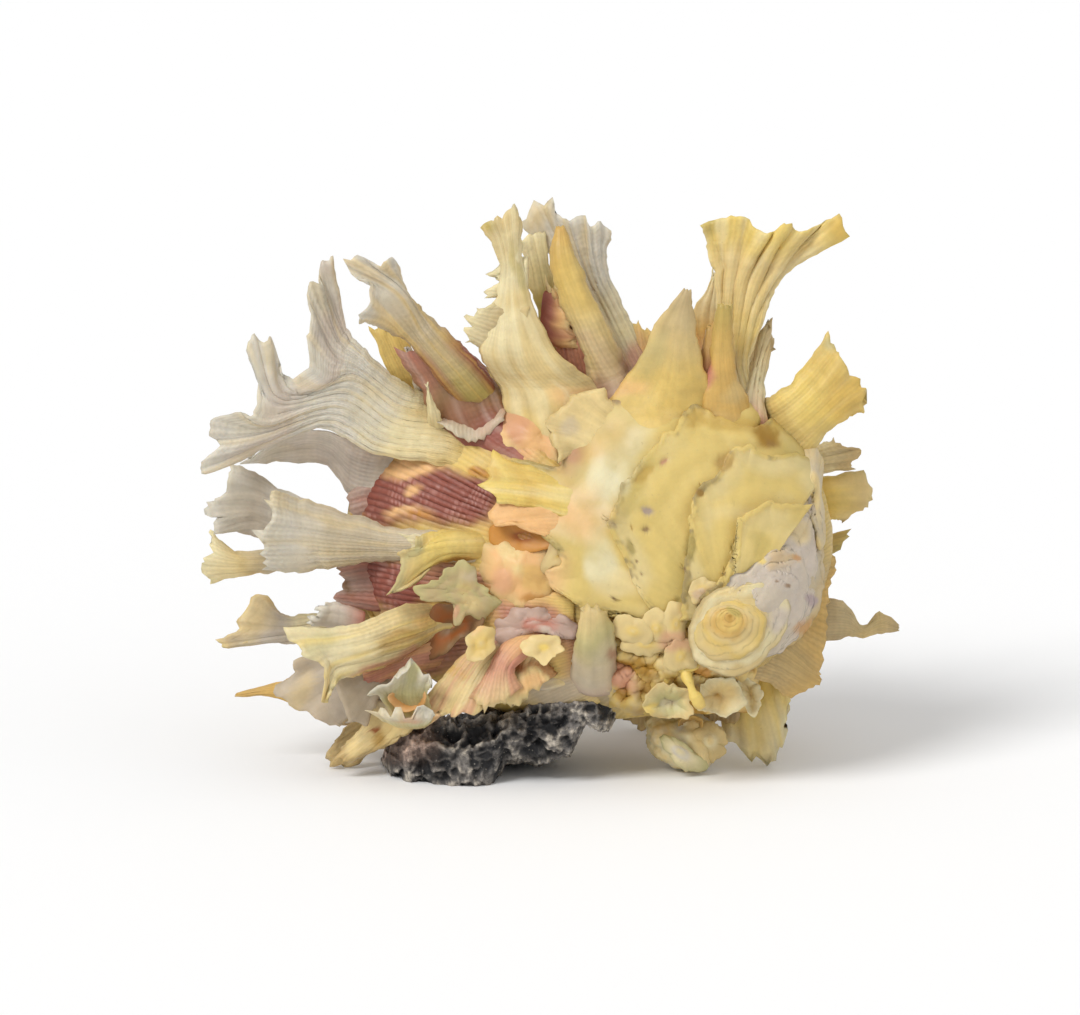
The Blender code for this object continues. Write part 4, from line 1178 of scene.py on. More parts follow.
# %% Hook, leaf and bar
upper("hook", [
    [(-14, 64, 15), (-14.5, 55.6, 15)],
    [(-21, 63.5, 20), (-20, 56, 19.4)],
    [(-28, 63.2, 22), (-27, 55.6, 22)],
    [(-34.6, 61.8, 25), (-34.2, 57.4, 24), (-35.6, 55.6, 24), (-38.2, 57.2, 25), (-39.3, 57.8, 25),
     (-38.8, 55.6, 25), (-38.5, 53, 26), (-41.8, 46.7, 27), (-36, 50.4, 26), (-31, 54, 25)],
], "yellow yellow bright straw", arch=3.2, depth=0.3, ragged=0.8, root=0.2,
    streak=("straw", 0.5), patches=[(-35, 59, 2.4, 4, -10, "green", 0.8),
    (-22, 56.6, 8, 1.6, 5, "orange", 0.7),
                                    (-38, 52, 2, 6, -25, "sage", 0.7)])
upper("hook_inner", [
    [face(-26, 60, 2), face(-26, 56, 2)],
    [(-33, 62.5, 20), (-33, 56, 20)],
    [(-37.5, 63, 21), (-35.5, 57, 20)],
], "cream white pale", arch=1.0, ribs=3, depth=0.4, root=0)
make_dish("green_leaf", [
    (-33.9, 49.6, 27), (-31, 50.4, 27), (-27.4, 51.2, 27), (-26, 53.2, 26.5), (-23, 54.8, 26),
    (-20.4, 54.2, 25.5), (-18.4, 52, 25), (-17, 49.2, 24.5), (-15.4, 47.2, 24), (-12.6, 46.4, 23),
    (-13.6, 44, 22.6), (-16.6, 42, 22.6), (-19.6, 41.4, 22.8), (-22, 43.2, 23.4), (-23.2, 40.4, 23.8),
    (-24.4, 41.4, 24), (-25, 45.4, 24.6), (-28, 45.8, 25.6), (-31, 45.8, 26.4), (-33, 46.8, 27),
    (-34.2, 48.2, 27),
], (-22, 47.6, 24.2), "sage moss sage moss sage", power=1.5, thick=1.0, ragged=1.1, lump=0.7,
    material=SMOOTH_SHELL, patches=[
        (-22.4, 48.4, 2.6, 2.4, 0, "honey", 0.3), (-20, 44, 4.5, 2.2, -15, "straw", 0.9),
        (-21, 52.6, 3, 1.8, -20, "lilac", 0.3), (-24.3, 42.4, 1, 2.4, 0, "pink", 0.6)])
# The rust hollow is painted brown and rust: partly its own colour, partly painted shade.
make_dish("rust_hollow", on_face([
    (-29, 45), (-24, 45), (-20, 43), (-17, 41.4), (-18.6, 38), (-23.4, 36.4), (-26.6, 33), (-31, 30.8),
    (-34, 32.6), (-32, 38), (-31, 42),
], 5.0), (-25.6, 39.4, float(ball_height(-25.6, 39.4)) + 1.0), "brown brown rust brown", power=1.6,
    thick=1.2, lump=0.4, material=SMOOTH_SHELL)
upper("lower_bar", [
    [(-28.6, 45, 14), (-31.4, 35.4, 13)],
    [(-37, 44.6, 19), (-39, 31, 16)],
    [(-47, 40.6, 21), (-46, 28.2, 18)],
    [(-56, 39, 22), (-57, 36, 22), (-57, 33, 22), (-56, 29, 21), (-54.5, 27.4, 21), (-51, 27, 20)],
    [(-66, 39.2, 25), (-65, 35, 25), (-62.8, 31.4, 25), (-58.8, 28, 24), (-58.6, 18.4, 24),
     (-56.6, 22.6, 24), (-54, 26.4, 22)],
], "straw straw straw pale pale", arch=4.0, depth=0.4, ragged=1.3, fine=0.6, root=0.05,
    streak=("bright", 0.5), patches=[
        # The ochre patch is painted shadow in the bar's trough.
        (-39, 36.6, 6.5, 2.2, 14, "ochre", 0.7), (-45, 40, 14, 2, 18, "cream", 0.6),
        (-40, 31.6, 11, 1.6, 22, "pink", 0.9), (-59, 34, 5, 4, 60, "green", 0.5),
        (-33, 41, 3.5, 2, 10, "peach", 0.7), (-56, 24, 2, 7, 10, "gold", 0.7)])
upper("rose_band", [
    [face(-26, 37, 1), face(-30, 29, 1)],
    [(-36, 33.4, 14), (-37, 27, 13)],
    [(-47.5, 28.6, 15), (-46.5, 24.4, 14)],
], "rust rose pink rose", arch=1.5, ribs=7, ragged=0.8, fine=0.9, root=0,
    streak=("peach", 0.6))
upper("lower_veil", [
    [face(-38, 38), face(-33, 30)],
    [(-51, 32, 8), (-44, 20, 9)],
    [(-58, 32, 9), (-56, 24, 9), (-52, 16, 9)],
    [(-64.4, 31, 10), (-67.8, 25, 9), (-66.8, 19.7, 9), (-61, 18.4, 9), (-58.3, 16.4, 9),
     (-53, 14.6, 9)],
], "fawn fawn grey fawn", arch=1.5, ribs=3, depth=0.3, ragged=1.4, fine=0.1, root=0.1,
    patches=[(-62, 22, 3, 6, 0, "straw", 0.5)])
upper("veil_fold", [
    [face(-36, 36), face(-33, 30)],
    [(-46, 30, 12), (-43, 22, 13)],
    [(-55, 27, 14), (-52, 17, 13), (-46, 14, 12)],
], "fawn grey fawn", arch=2.5, ribs=2, depth=0.3, ragged=1.0, fine=0.1, root=0)
print("after the bar:", COUNT)

# %% [markdown]
# Beneath them are an open spout, a pink pleated skirt at the rock, small leaves and a pad.

# %% Spout and skirt
make_dish("spout_hollow", [
    (-41, 22, 21.6), (-39, 25.2, 22.4), (-35.6, 26.4, 23), (-32.4, 25, 23), (-31.6, 21.6, 22.6),
    (-33.4, 18.6, 21.6), (-38, 18.2, 21),
], (-36.4, 21.8, 18.4), "rust rust orange peach", thick=1.0, ragged=0.8, ruffle=0.3,
    lump=0.6, rim_shade=0.0, material=SMOOTH_SHELL)
upper("spout_back", [
    [(-40, 17, 16), (-29.6, 17, 17)],
    [(-43.6, 22.4, 20.4), (-30.6, 23.6, 22)],
    [(-46.2, 22.6, 24.6), (-44.4, 25, 25), (-41, 25.2, 25.6), (-38.6, 27, 26), (-36.6, 28.8, 26.6),
     (-35, 31.2, 27), (-33.6, 29, 26.8), (-32.4, 26.6, 26.4), (-30.4, 28.2, 26), (-29.4, 25, 25.4)],
], "buff green white", arch=-1.4, ribs=3, depth=0.4, ragged=1.4, curl=1.0, fine=0.3, root=0,
    streak=("green", 0.6), patches=[(-34, 28, 2, 3, 0, "green", 0.8),
    (-43, 23, 2.4, 2, 0, "white", 0.8)])
upper("spout_front", [
    [(-40, 15.8, 17.6), (-31, 15.6, 18)],
    [(-43, 16.8, 21.6), (-30.6, 16, 22)],
    [(-45.8, 18.2, 24), (-43.6, 19, 25), (-41.4, 18.2, 25.4), (-38.6, 18.5, 25.8),
     (-35.6, 17.9, 25.8), (-33, 18.3, 25.4), (-30.8, 17.5, 25), (-29.8, 17.2, 24)],
], "straw green white", arch=1.2, ribs=4, ragged=1.4, curl=1.0, fine=0.3, root=0,
    streak=("straw", 0.5), patches=[(-36, 17.6, 3, 1.6, 0, "pink", 0.6)])
upper("spout_foot", [
    [(-45, 21, 8), (-33, 22, 10)],
    [(-49, 13, 6), (-35, 14, 9)],
    [(-53.5, 9, 5), (-55.5, 4.5, 6), (-50, 6, 6), (-44, 8, 7), (-38, 12, 9)],
], "fawn straw cream buff", arch=1.5, ribs=4, ragged=1.8, fine=0.2, root=0, patches=[
        (-44, 15.5, 1.6, 1.3, 0, "rust", 1.0), (-42.6, 12, 1.6, 4, 0, "ochre", 0.8),
        (-50, 9, 3, 2, 20, "cream", 0.8)])
upper("pink_skirt", [
    [face(-16, 37, 1), face(4, 37, 1)],
    [(-25, 29.5, 18), (-1, 31, 22)],
    [(-33, 20, 18), (-30, 17, 19), (-26, 17, 20), (-20.4, 17.2, 21), (-14.8, 19.4, 21),
     (-8, 22.6, 22), (-3, 25, 22), (1, 28, 22)],
], "straw peach straw cream", ribs=13, depth=0.6, ragged=1.7, curl=1.4, root=0.1,
    streak=("pink", 0.7), patches=[
        (-28, 23, 6, 6, 0, "straw", 0.9), (-24, 28.5, 5, 1.6, -12, "honey", 0.9),
        (-9, 30, 2.6, 3.6, 20, "rust", 1.0), (-2, 30.2, 6, 1.4, 0, "rust", 0.7),
        (-5, 26, 5, 2, 20, "peach", 0.8), (-14, 37, 5, 3, 0, "dusk", 0.8),
        (-4, 38.5, 9, 4, -8, "rose", 0.9),
        (-27, 33, 5, 1.8, 35, "rose", 0.8)])
upper("skirt_fold", [
    [face(-12, 36, 3), face(-3, 34, 3)],
    [(-16, 30, 23.5), (-9.5, 29.5, 24.5)],
    [(-21, 22, 23), (-17, 19.5, 24), (-12, 21.6, 24), (-8, 24.4, 24.5)],
], "straw peach pink cream", arch=2.2, ribs=6, depth=0.6, ragged=1.2, curl=1.0, root=0,
    streak=("rose", 0.7))
make_dish("little_leaf", [
    (-22.4, 33, 26), (-21.4, 35.4, 26), (-20, 37.6, 25.5), (-17.4, 39.2, 25), (-15, 38.6, 25),
    (-14.2, 36, 25), (-14.6, 33.8, 25.6), (-16.6, 31.8, 26.6), (-19, 31.2, 27), (-21, 31.6, 26.6),
], (-18, 35.4, 25.6), "straw yellow straw", power=2.2, thick=0.8, ragged=1.1, ruffle=0.8, lump=0.5,
    rim_shade=0.0, material=SMOOTH_SHELL, patches=[(-17, 37.6, 3, 1.4, 30, "peach", 0.6)])
make_dish("yellow_leaf", [
    (-7.6, 34.4, 27), (-6.6, 36.4, 26.6), (-3.4, 37.6, 26.4), (0.6, 36.6, 26.8), (2.6, 34.6, 27.4),
    (1.4, 32.2, 28.4), (-1.4, 30.9, 28.8), (-5, 31.4, 28.2),
], (-2.6, 34.4, 27.6), "bright bright straw cream", power=2.4, thick=0.8, ragged=1.1, ruffle=0.8,
    lump=0.5, rim_shade=0.0, material=SMOOTH_SHELL)
make_dish("pink_pad", on_face([
    (-15, 38), (-13.4, 42), (-9, 43.8), (-4, 44), (2, 42.6), (6, 40), (5.4, 36.6), (3, 36), (-3, 38.6),
    (-8, 37.4), (-12.6, 35),
], 2.4), (-4.6, 40.6, float(ball_height(-4.6, 40.6)) + 3.0), "dusk rose dusk dusk", power=1.6, thick=1.2,
    ragged=1.0, ruffle=0.5, lump=0.9, material=SMOOTH_SHELL,
    patches=[(-3, 39, 2, 1, 0, "lilac", 0.7), (-11, 40, 3, 3, 0, "dusk", 0.8)])
print("after the skirt:", COUNT)

# %% [markdown]
# ## Fronds of the hinge
#
# To the right of the umbo the hinge side is a brownish ear with fine lines.

# %% Ear
upper("hinge_ear", [
    [face(52, 76, 1), face(36, 27, 1)],
    [(62, 70, 15), (50, 26, 13)],
    [(66.3, 80, 8), (66, 75, 9), (65.6, 70, 10), (66.3, 65, 10), (67.6, 60, 9), (69.5, 55, 8),
     (68.3, 50, 8), (67.6, 44, 7), (67.4, 37, 7), (66.2, 31, 6), (66, 27, 6), (67.2, 24.8, 6),
     (63.5, 24.3, 6), (59, 21.5, 6)],
], "honey buff buff honey", arch=1.5, ribs=22, depth=0.35, ragged=1.4, curl=0.8, fine=0.7,
    root=0.1)
print("after the ear:", COUNT)

# %% [markdown]
# ## Fronds of the lower valve
#
# The lower valve's fronds show round the edge, behind those of the upper one. On the right are
# a fan, a paddle and short spurs.

# %% Right side
lower("behind_right_fan", [
    [back(43, 93), back(49, 91)],
    [(46, 103, -6), (50.5, 103, -6)],
    [(50.5, 113, -6), (53.5, 112.5, -6), (55, 108.5, -6)],
], "rose pale buff", arch=1.0, ribs=3, depth=0.6, root=0)
lower("right_spur", [
    [back(56, 84), back(57, 75)],
    [(67, 85, -5), (68, 77.5, -5)],
    [(70, 86.8, -5), (71.2, 85, -5), (74, 84.3, -5), (77.6, 84, -6), (77, 81.5, -6),
     (74.5, 80, -6), (75.5, 78, -6)],
], "green cream pale buff", arch=1.5, depth=0.7, ragged=1.7, root=0)
lower("right_paddle", [
    [back(56, 76), back(60, 62)],
    [(69, 77, -7), (70, 65.5, -7)],
    [(78.4, 77.8, -9), (79.6, 74, -9), (78, 69.7, -9), (73, 65, -9)],
], "honey bright bright straw", ribs=4, depth=0.4, fine=0.2, root=0, streak=("cream", 0.3))
lower("right_notch", [
    [back(58, 62), back(58, 46)],
    [(67, 62, -5), (67, 48, -5)],
    [(72.8, 62.8, -6), (72.3, 60, -6), (69.8, 56, -6), (70.3, 53, -6), (68, 47, -6)],
], "buff olive honey olive", arch=1.0, ribs=6, depth=0.6, root=0)
lower("right_spike", [
    [back(56, 48), back(56, 36)],
    [(67, 46, -6), (67, 35.5, -6)],
    [(74.5, 44, -8), (74, 36, -8)],
    [(77.5, 39.5, -9), (77.5, 36, -9)],
    [(82, 42.8, -10), (81.5, 37, -10)],
    [(87, 38.9, -10), (87, 38.1, -10)],
], "honey moss moss straw moss", arch=1.0, ribs=3, ragged=0.9, root=0)
print("after the right side:", COUNT)

# %% [markdown]
# Below hang a fan and a cream frill, and on the left are a fork, a spike and a stub. The prop
# reaches down behind the rock.

# %% Below and left
lower("foot_fan", [
    [back(42, 32), back(56, 40)],
    [(42, 20, -7), (58.5, 24, -6)],
    [(42.5, 9.8, -5), (45, 8.8, -5), (48, 7.6, -5), (51.5, 7, -5), (55, 7.8, -5), (57.5, 10, -5),
     (58.5, 15, -5), (58.5, 19, -5)],
], "straw bright bright pale", arch=2.4, ribs=6, depth=0.45, ragged=1.9, root=0, fine=0.2,
    streak=("bright", 0.5))
lower("far_left_fork", [
    [back(-43, 50), back(-40, 38)],
    [(-56, 43.5, -5), (-56, 36, -5)],
    [(-66, 42, -6), (-65, 34.8, -6)],
    [(-71.8, 46.8, -7), (-75.2, 47.2, -7), (-77, 42.5, -7), (-79, 40.5, -7), (-80, 37.7, -7),
     (-84, 35.5, -7), (-83, 33.8, -7), (-78.5, 34.5, -7), (-75, 36.5, -7)],
], "honey buff pale grey cream", arch=1.5, ribs=4, depth=0.6, ragged=1.0, root=0)
lower("left_spike", [
    [back(-36, 36), back(-31, 28)],
    [(-54, 27, -6), (-53, 14.5, -6)],
    [(-63, 27, -7), (-60, 17.5, -7)],
    [(-68, 25.5, -8), (-69, 21, -8)],
    [(-80.3, 22.4, -9), (-80.3, 21.2, -9)],
], "buff grey honey honey", arch=1.5, ribs=3, ragged=0.7, root=0)
lower("cream_frill", [
    [back(14, 34), back(46, 34)],
    [(17, 22, -4), (46, 24, -4)],
    [(17, 17, -3), (22, 13.5, -3), (28, 15, -3), (34, 12, -3), (40, 14, -3), (46, 16, -3)],
], "brown brown buff", arch=1.5, ribs=8, depth=0.9, ragged=1.7, curl=1.6, root=0)
lower("prop", [
    [back(18, 47), back(40, 47)],
    [(22, 32, -40), (36, 32, -40)],
    [(22, 22, -44), (37, 22, -44)],
    [(21, 15, -45), (25, 14, -46), (30, 14.6, -46), (35, 14, -46), (39, 16, -45)],
], "buff cream straw pale", arch=2.2, ribs=6, depth=0.7, ragged=1.0, curl=1.3, root=0, fine=0.4,
    streak=("bone", 0.5))
lower("low_left_stub", [
    [back(-36, 36), back(-33, 31)],
    [(-45, 20, -5), (-41, 13, -5)],
    [(-53, 13, -4), (-56, 9, -4), (-55.5, 4.8, -4), (-49, 4.8, -4)],
], "buff cream buff", arch=1.0, ribs=4, depth=0.6, root=0)
print("after the lower fronds:", COUNT)

# %% [markdown]
# The lower valve's far face has its own fronds, short and pale, set in a ring.

# %% Back fronds
BACK_TURNS = [(12, 21), (38, 24), (64, 22), (90, 25), (116, 22), (142, 24), (168, 22), (196, 20)]
BACK_SHAPE = [(0.66, 0.0, 5.6), (0.75, 0.4, 3.6), (0.82, 0.75, 4.6), (0.88, 0.94, 6.0)]


def back_rows(turn, length):
    """Rows that start in the lower valve's face and grow back and away from its middle."""
    way = np.array([math.cos(math.radians(turn)), math.sin(math.radians(turn))])
    aside = np.array([-way[1], way[0]])
    start = OUTLINE_CENTRE + OUTLINE_RADII * way * BACK_SHAPE[0][0]
    out = back(*start)[2]
    rows = []
    for reach, share, half_width in BACK_SHAPE:
        middle = OUTLINE_CENTRE + OUTLINE_RADII * way * reach
        ends = middle - aside * half_width, middle + aside * half_width
        rows.append([(*end, out - share * length) for end in ends])
    return rows


for number, (turn, length) in enumerate(BACK_TURNS):
    lower(f"back_frond_{number + 1}", back_rows(turn, length), "buff honey cream pale",
          arch=1.2, depth=0.7, ragged=2.6, curl=1.6, root=0, fine=0.4, streak=("rose", 0.4))
print("after the back:", COUNT)

# %% [markdown]
# ## The growth tiers
#
# The smooth yellow middle is made of plates. Each grew out from the umbo and stopped, and the
# next came from under it, so each plate's edge stands over the one below. The edges are worn
# and scalloped, with grey-brown crust in places.

# %% Tiers
TIERS = {
    "tier_1": (5.6, [(64, 70), (58, 70), (51, 69.5), (48, 68), (45, 65), (44.5, 61), (44, 57),
                     (42, 53.5), (39, 50), (35, 47)]),
    "tier_2": (3.8, [(66, 76), (64.5, 82), (56, 82.3), (49, 83.8), (44, 84), (42, 81), (40, 77),
                     (37, 74.5), (34, 71), (32.8, 67), (33.5, 63), (33, 58), (32, 54), (30.5, 47),
                     (31, 41)]),
    "tier_3": (1.8, [(64, 84), (60, 86.5), (57, 90.5), (54, 91.5), (50, 89), (44, 90.5), (39, 93),
                     (34, 95.2), (31, 92), (30, 88), (26.5, 85.5), (22, 81), (19, 78), (17.5, 76),
                     (15.5, 72), (14, 68), (13.2, 65), (15.4, 60), (18.4, 55), (21, 49),
                     (26, 40)]),
    "tier_4": (1.2, [(52, 95), (44, 97), (36, 100), (28, 99.5), (20, 97), (12.5, 96), (8, 94.5),
                     (3.5, 95.5), (1.5, 90), (-2.8, 90.6), (0, 86), (2, 82), (1.5, 79), (-5, 80),
                     (-11, 81.5), (-12.5, 79), (-13, 76), (-14.6, 72.6), (-13.4, 69.4),
                     (-10, 66.8), (-4, 62.6), (0, 59), (0.6, 56), (-2, 53.4), (0, 49), (4, 46),
                     (9, 43.5), (18, 41), (26, 37)]),
}
TIER_LIFT = 1.9


def flat3(flat):
    """Points (across, up) with a zero for out, so that noise is the same in every plate."""
    return np.concatenate([flat, np.zeros(flat.shape[:-1] + (1,))], axis=-1)


# Small stained pits in the plates: (across, up, half width, half height, turn, colour).
PITS = [
    (18.6, 59.2, 1.0, 2.2, 20, "olive"), (14.2, 64.8, 1.3, 0.9, -40, "moss"),
    (19, 64, 0.4, 0.9, 10, "ochre"),
    (23, 68, 1.6, 1.1, 0, "purple"), (22.6, 63.6, 1.1, 1.0, 0, "brown"),
    (33.5, 59, 1.3, 3.2, 2, "olive"),
    (31.7, 53.7, 0.7, 0.6, 0, "brown"), (30.3, 46, 0.7, 1.2, -20, "olive"),
    (41.3, 52.6, 0.7, 0.5, 20, "brown"),
    (43.4, 59.2, 0.6, 0.9, 0, "olive"), (14.6, 46.4, 0.5, 0.9, 35, "brown"),
    (35.8, 72.4, 1.0, 1.0, 0, "ochre"),
    (21.4, 52.5, 0.4, 0.5, 0, "brown"), (20.2, 55.6, 0.4, 0.5, 0, "brown"),
    (-4, 55.2, 0.6, 0.8, 0, "maroon"),
    (27, 80, 1.2, 0.8, 30, "pink"), (44, 70, 0.35, 0.35, 0, "brown"), (43, 89.6, 8, 2.0, -6, "gold"),
    # The ochre pit at (52.6, 86.6) is the same hollow: its colour, partly painted shade.
    (52.6, 86.6, 3.2, 2.0, -35, "ochre"), (35, 91, 3, 2, 30, "gold"), (22, 77, 3, 1.6, 40, "gold"),
    (42, 80, 2.5, 2, 40, "honey"),
]
# Where a plate's edge turns up: (across, up, radius, height).
CURLS = [(-3, 90, 10, 0.8), (-17, 74, 9, 0.8), (-9, 66, 9, 0.4), (28, 99, 8, 1.6), (46, 94, 8, 1.6),
         (14, 66, 6, 1.2), (47, 84, 6, 1.2), (4, 80, 7, 1.0)]


def make_tier(name, level, outline, columns=250, rows=44):
    """A plate on polar lines from the umbo: reach 0.25 to 1 of the way to an outline that is
    smooth far from the edge and scalloped at it. It stands on the valve's face at its own level,
    turns up close to its edge, by exp(-distance / 3), and has soft waves along its growth lines."""
    seed = seed_of(name)
    even = 1 - (1 - np.linspace(0, 1, rows)) ** 1.5
    reach, turn = np.meshgrid(0.25 + 0.75 * even, np.linspace(0, 1, columns), indexing="ij")
    edge = mix_rows(outline, turn[0])
    plain = edge.copy()
    for times in range(160):
        plain[1:-1] = (plain[:-2] + 2 * plain[1:-1] + plain[2:]) / 4
        if times == 5:
            edge = plain.copy()
    blend = step(0.6, 0.97, reach)[..., None]
    edge = plain + (edge - plain) * blend
    away = edge - np.array(UMBO)
    away /= np.linalg.norm(away, axis=-1)[..., None]
    spot = np.concatenate([edge, np.full(edge.shape[:2] + (1,), seed)], axis=-1)
    scallop = 1.2 * fractal(spot, 4.6, seed, 4) + 0.9 * np.abs(noise(spot, 2.4, seed + 1)) - 0.3
    rim = edge + away * scallop[..., None] * blend
    flat = np.array(UMBO) + (rim - np.array(UMBO)) * reach[..., None]
    base = ball_height(flat[..., 0], flat[..., 1])
    points = np.concatenate([flat, base[..., None]], axis=-1)
    to_edge = nearest(rim[-1], flat)
    swell = 0.9 * fractal(flat3(flat), 24, 91, 2) + 0.05 * fractal(points, 3.5, seed + 3, 3)
    bands = 0.16 * np.sin(to_edge * 0.9 + 2.5 * noise(points, 18, seed + 7)) * step(1, 5, to_edge)
    wave = 0.6 * noise(points, 5, seed + 4) * step(4, 0, to_edge)
    lumps = 0.25 * np.maximum(fractal(points, 1.5, seed + 5, 2), 0) * step(1.8, 0.2, to_edge)
    turned_up = TIER_LIFT * np.exp(-to_edge / 3.0)
    points[..., 2] = base + level + turned_up + swell + bands + wave + lumps
    for across, up, radius, height in CURLS:
        near = np.hypot(flat[..., 0] - across, flat[..., 1] - up) / radius
        points[..., 2] += height * step(1, 0, near) * step(9, 1, to_edge)
    tint = field(points) * (1 + 0.05 * fractal(points, 12, seed + 8, 3) + 0.14 * bands)[..., None]
    patchy = step(-0.15, 0.35, noise(spot, 6, seed + 6) + 0.5 * fractal(points, 1.4, seed + 10, 2))
    crusty = patchy * step(1.7, 0.3, to_edge + 0.7 * noise(points, 1.2, seed + 11))
    tint *= [0.95, 1.0, 1.08]
    tint = fade_to(tint, "crust", 0.75 * crusty)
    pale = step(-0.2, 0.6, noise(spot, 13, seed + 9)) * step(7, 3, to_edge) * step(0.6, 1.6, to_edge)
    tint = fade_to(tint, "pale", 0.4 * pale)
    light = 0.32 * step(0.0, 0.7, fractal(points, 15, 92, 4)) * step(0, 3, to_edge)
    dull = 0.5 * step(0.1, 0.8, fractal(points, 10, 93, 4))
    tint = fade_to(tint, "pale", light)
    tint = fade_to(tint, linear("olive") * 1.08, dull)
    for across, up, wide, tall, lean, colour in PITS:
        lean = math.radians(lean)
        x, y = flat[..., 0] - across, flat[..., 1] - up
        x, y = x * math.cos(lean) + y * math.sin(lean), y * math.cos(lean) - x * math.sin(lean)
        inside = step(1.5, 0.6, np.hypot(x / wide, y / tall) + 0.25 * fractal(points, 1.5, 94, 2))
        points[..., 2] -= 0.35 * min(1.0, wide) * inside
        tint = fade_to(tint, linear(colour) * 0.75, 0.8 * inside)
    count_round, distance = umbo_ribs(points, 60)
    wall = 2.8 - 1.5 * step(0.5, 1, reach)
    wall *= np.sqrt(np.clip(np.minimum(to_edge, np.minimum(turn, 1 - turn) * 80) / 0.8, 0.04, 1))
    return keep(
        two_sided(name, points, wall, tint, count_round, distance, np.full(reach.shape, 0.2),
                  SMOOTH_SHELL),
        "upper_valve",
    )


for name, (level, outline) in TIERS.items():
    make_tier(name, level, outline)
upper("gold_finger", [
    on_face([(14, 78), (14, 64)], -2.5),
    on_face([(0, 78), (1, 67)], 1.6),
    on_face([(-8, 79.6), (-7, 69)], 4.0),
    on_face([(-15, 82.8), (-16.2, 79.4), (-16.6, 76), (-19.6, 73.8), (-15.4, 72), (-14.4, 70)], 6.0),
], "cream peach yellow bright gold bright", arch=1.2, ribs=4, depth=0.45, ragged=1.2,
    fine=0.4, root=0, streak=("pale", 0.4), patches=[(-16, 80, 2, 4, 0, "honey", 0.6),
    (-9, 66, 5, 2, 0, "cream", 0.6)])
upper("top_finger", [
    on_face([(22, 90), (10, 76)], -2.5),
    on_face([(14, 95), (4, 81)], 2.4),
    on_face([(12.6, 98.6), (8.6, 97.6), (4.4, 96.2), (1.6, 93), (-2.4, 90.4), (-0.6, 87), (0.6, 83),
             (1.2, 80)], 5.6),
], "cream peach cream straw", arch=1.0, ribs=3, depth=0.3, ragged=0.9, curl=1.0, fine=0.2, root=0,
    patches=[(9, 97.6, 5, 1.4, 10, "cream", 0.9), (3, 89, 3, 4, 30, "fawn", 0.6)])
upper("hollow_lip", [
    on_face([(8, 71), (6, 60)], -2.0),
    on_face([(-4, 71), (-1, 61.4)], 2.4),
    on_face([(-12.6, 72.4), (-16.8, 67.6), (-14.6, 64), (-9, 64.2), (-4.5, 62.6)], 5.0),
], "cream peach peach peach", arch=1.0, ribs=3, depth=0.3, ragged=0.9, curl=1.0, fine=0.2, root=0)
print("after the tiers:", COUNT)

# %% [markdown]
# Left of the plates a peach scale stands over the maroon face, and under the lowest plate an
# orange hollow opens above a smooth peach swelling.

# %% Scale, hollow and swelling
make_dish("peach_scale", on_face([
    (-13.5, 95), (-8, 94.5), (-3, 92), (-1.2, 88.6), (0.6, 86), (1.4, 83), (1.2, 80.3), (-1.5, 79.4),
    (-5, 79.6), (-9, 80.6), (-14, 83.4), (-17, 87.4), (-16.5, 92),
], 0.4), (-5, 86, float(ball_height(-5, 86)) + 2.0), "peach peach peach cream", power=2.4,
    thick=1.2, ragged=0.8, ruffle=0.6, lump=0.4, material=SMOOTH_SHELL,
    patches=[(-12, 90.5, 7, 4, -35, "rose", 0.55), (-8.6, 83, 3, 2.2, 20, "orange", 0.9)])
# The orange hollow is a rust and orange dish in the hollow under the lowest plate: partly the shell's
# orange, partly painted shade.
make_dish("orange_hollow", on_face([
    (-16, 64), (-12, 66), (-5, 66), (0, 63), (0.6, 59.4), (-4, 58), (-8, 57.4), (-12, 58.4), (-16, 60),
], 2.0), (-8, 62, float(ball_height(-8, 62)) + 0.4), "rust rust orange orange", power=1.5,
    thick=1.0, ragged=0.4, ruffle=0.2, material=SMOOTH_SHELL)
make_dish("peach_bulge", on_face([
    (-19, 57.5), (-16.5, 60.2), (-12, 60.4), (-7.5, 59.4), (-3, 60), (1, 58), (1.5, 54), (0.5, 50),
    (-2, 45.6), (-8, 44.4), (-14, 45.5), (-19, 50.5),
], -0.4), (-9, 54, float(ball_height(-9, 54)) + 3.0), "cream peach peach straw", power=2.6,
    rim_shade=0.0,
    thick=1.6, ragged=1.2, ruffle=0.3, lump=0.5, material=SMOOTH_SHELL,
    patches=[(-11, 57, 3, 4, 0, "cream", 0.8), (-6, 50, 5, 2.2, -30, "honey", 0.7),
             (-5, 46.5, 4, 1.2, -20, "orange", 0.8), (-14, 51, 3, 4, 0, "pink", 0.5)])
make_dish("olive_scale", on_face([
    (-1, 60.8), (2, 60.5), (3.6, 58.6), (5.6, 56.6), (4, 54.2), (2, 53.4), (-0.4, 54.6), (-2.6, 51.6),
    (-3.4, 54.5), (-1.6, 57.6),
], 2.6), (0.8, 57, float(ball_height(0.8, 57)) + 2.0), "yellow straw straw buff", power=2.2, thick=0.8,
    ragged=0.6, ruffle=0.3, lump=0.3, material=SMOOTH_SHELL)
print("after the swelling:", COUNT)

# %% [markdown]
# ## The umbo
#
# The umbo is the oldest part: a low yellow cap of growth rings, off centre, on a wider cream
# ring. Whitish plates with a lilac tinge, each over the next, drag away from it up to the
# right. Every one is a dish with its middle raised.

# %% Umbo cap, ring and plates
def umbo_height(across, up):
    """The valve's face near the umbo, raised by a soft mound that ends at its right edge."""
    mound = 1.6 * math.exp(-((across - 42) ** 2 + (up - 41) ** 2) / 90)
    return float(ball_height(across, up)) + 5.2 * float(step(68, 50, across)) + mound


def plate_rim(outline, level):
    return [(across, up, umbo_height(across, up) + level) for across, up in outline]


def above_plates(outline):
    """An outline raised, where needed, to stand over the plates beside the umbo."""
    return [(across, up, max(out, umbo_height(across, up) + 2.6)) for across, up, out in outline]


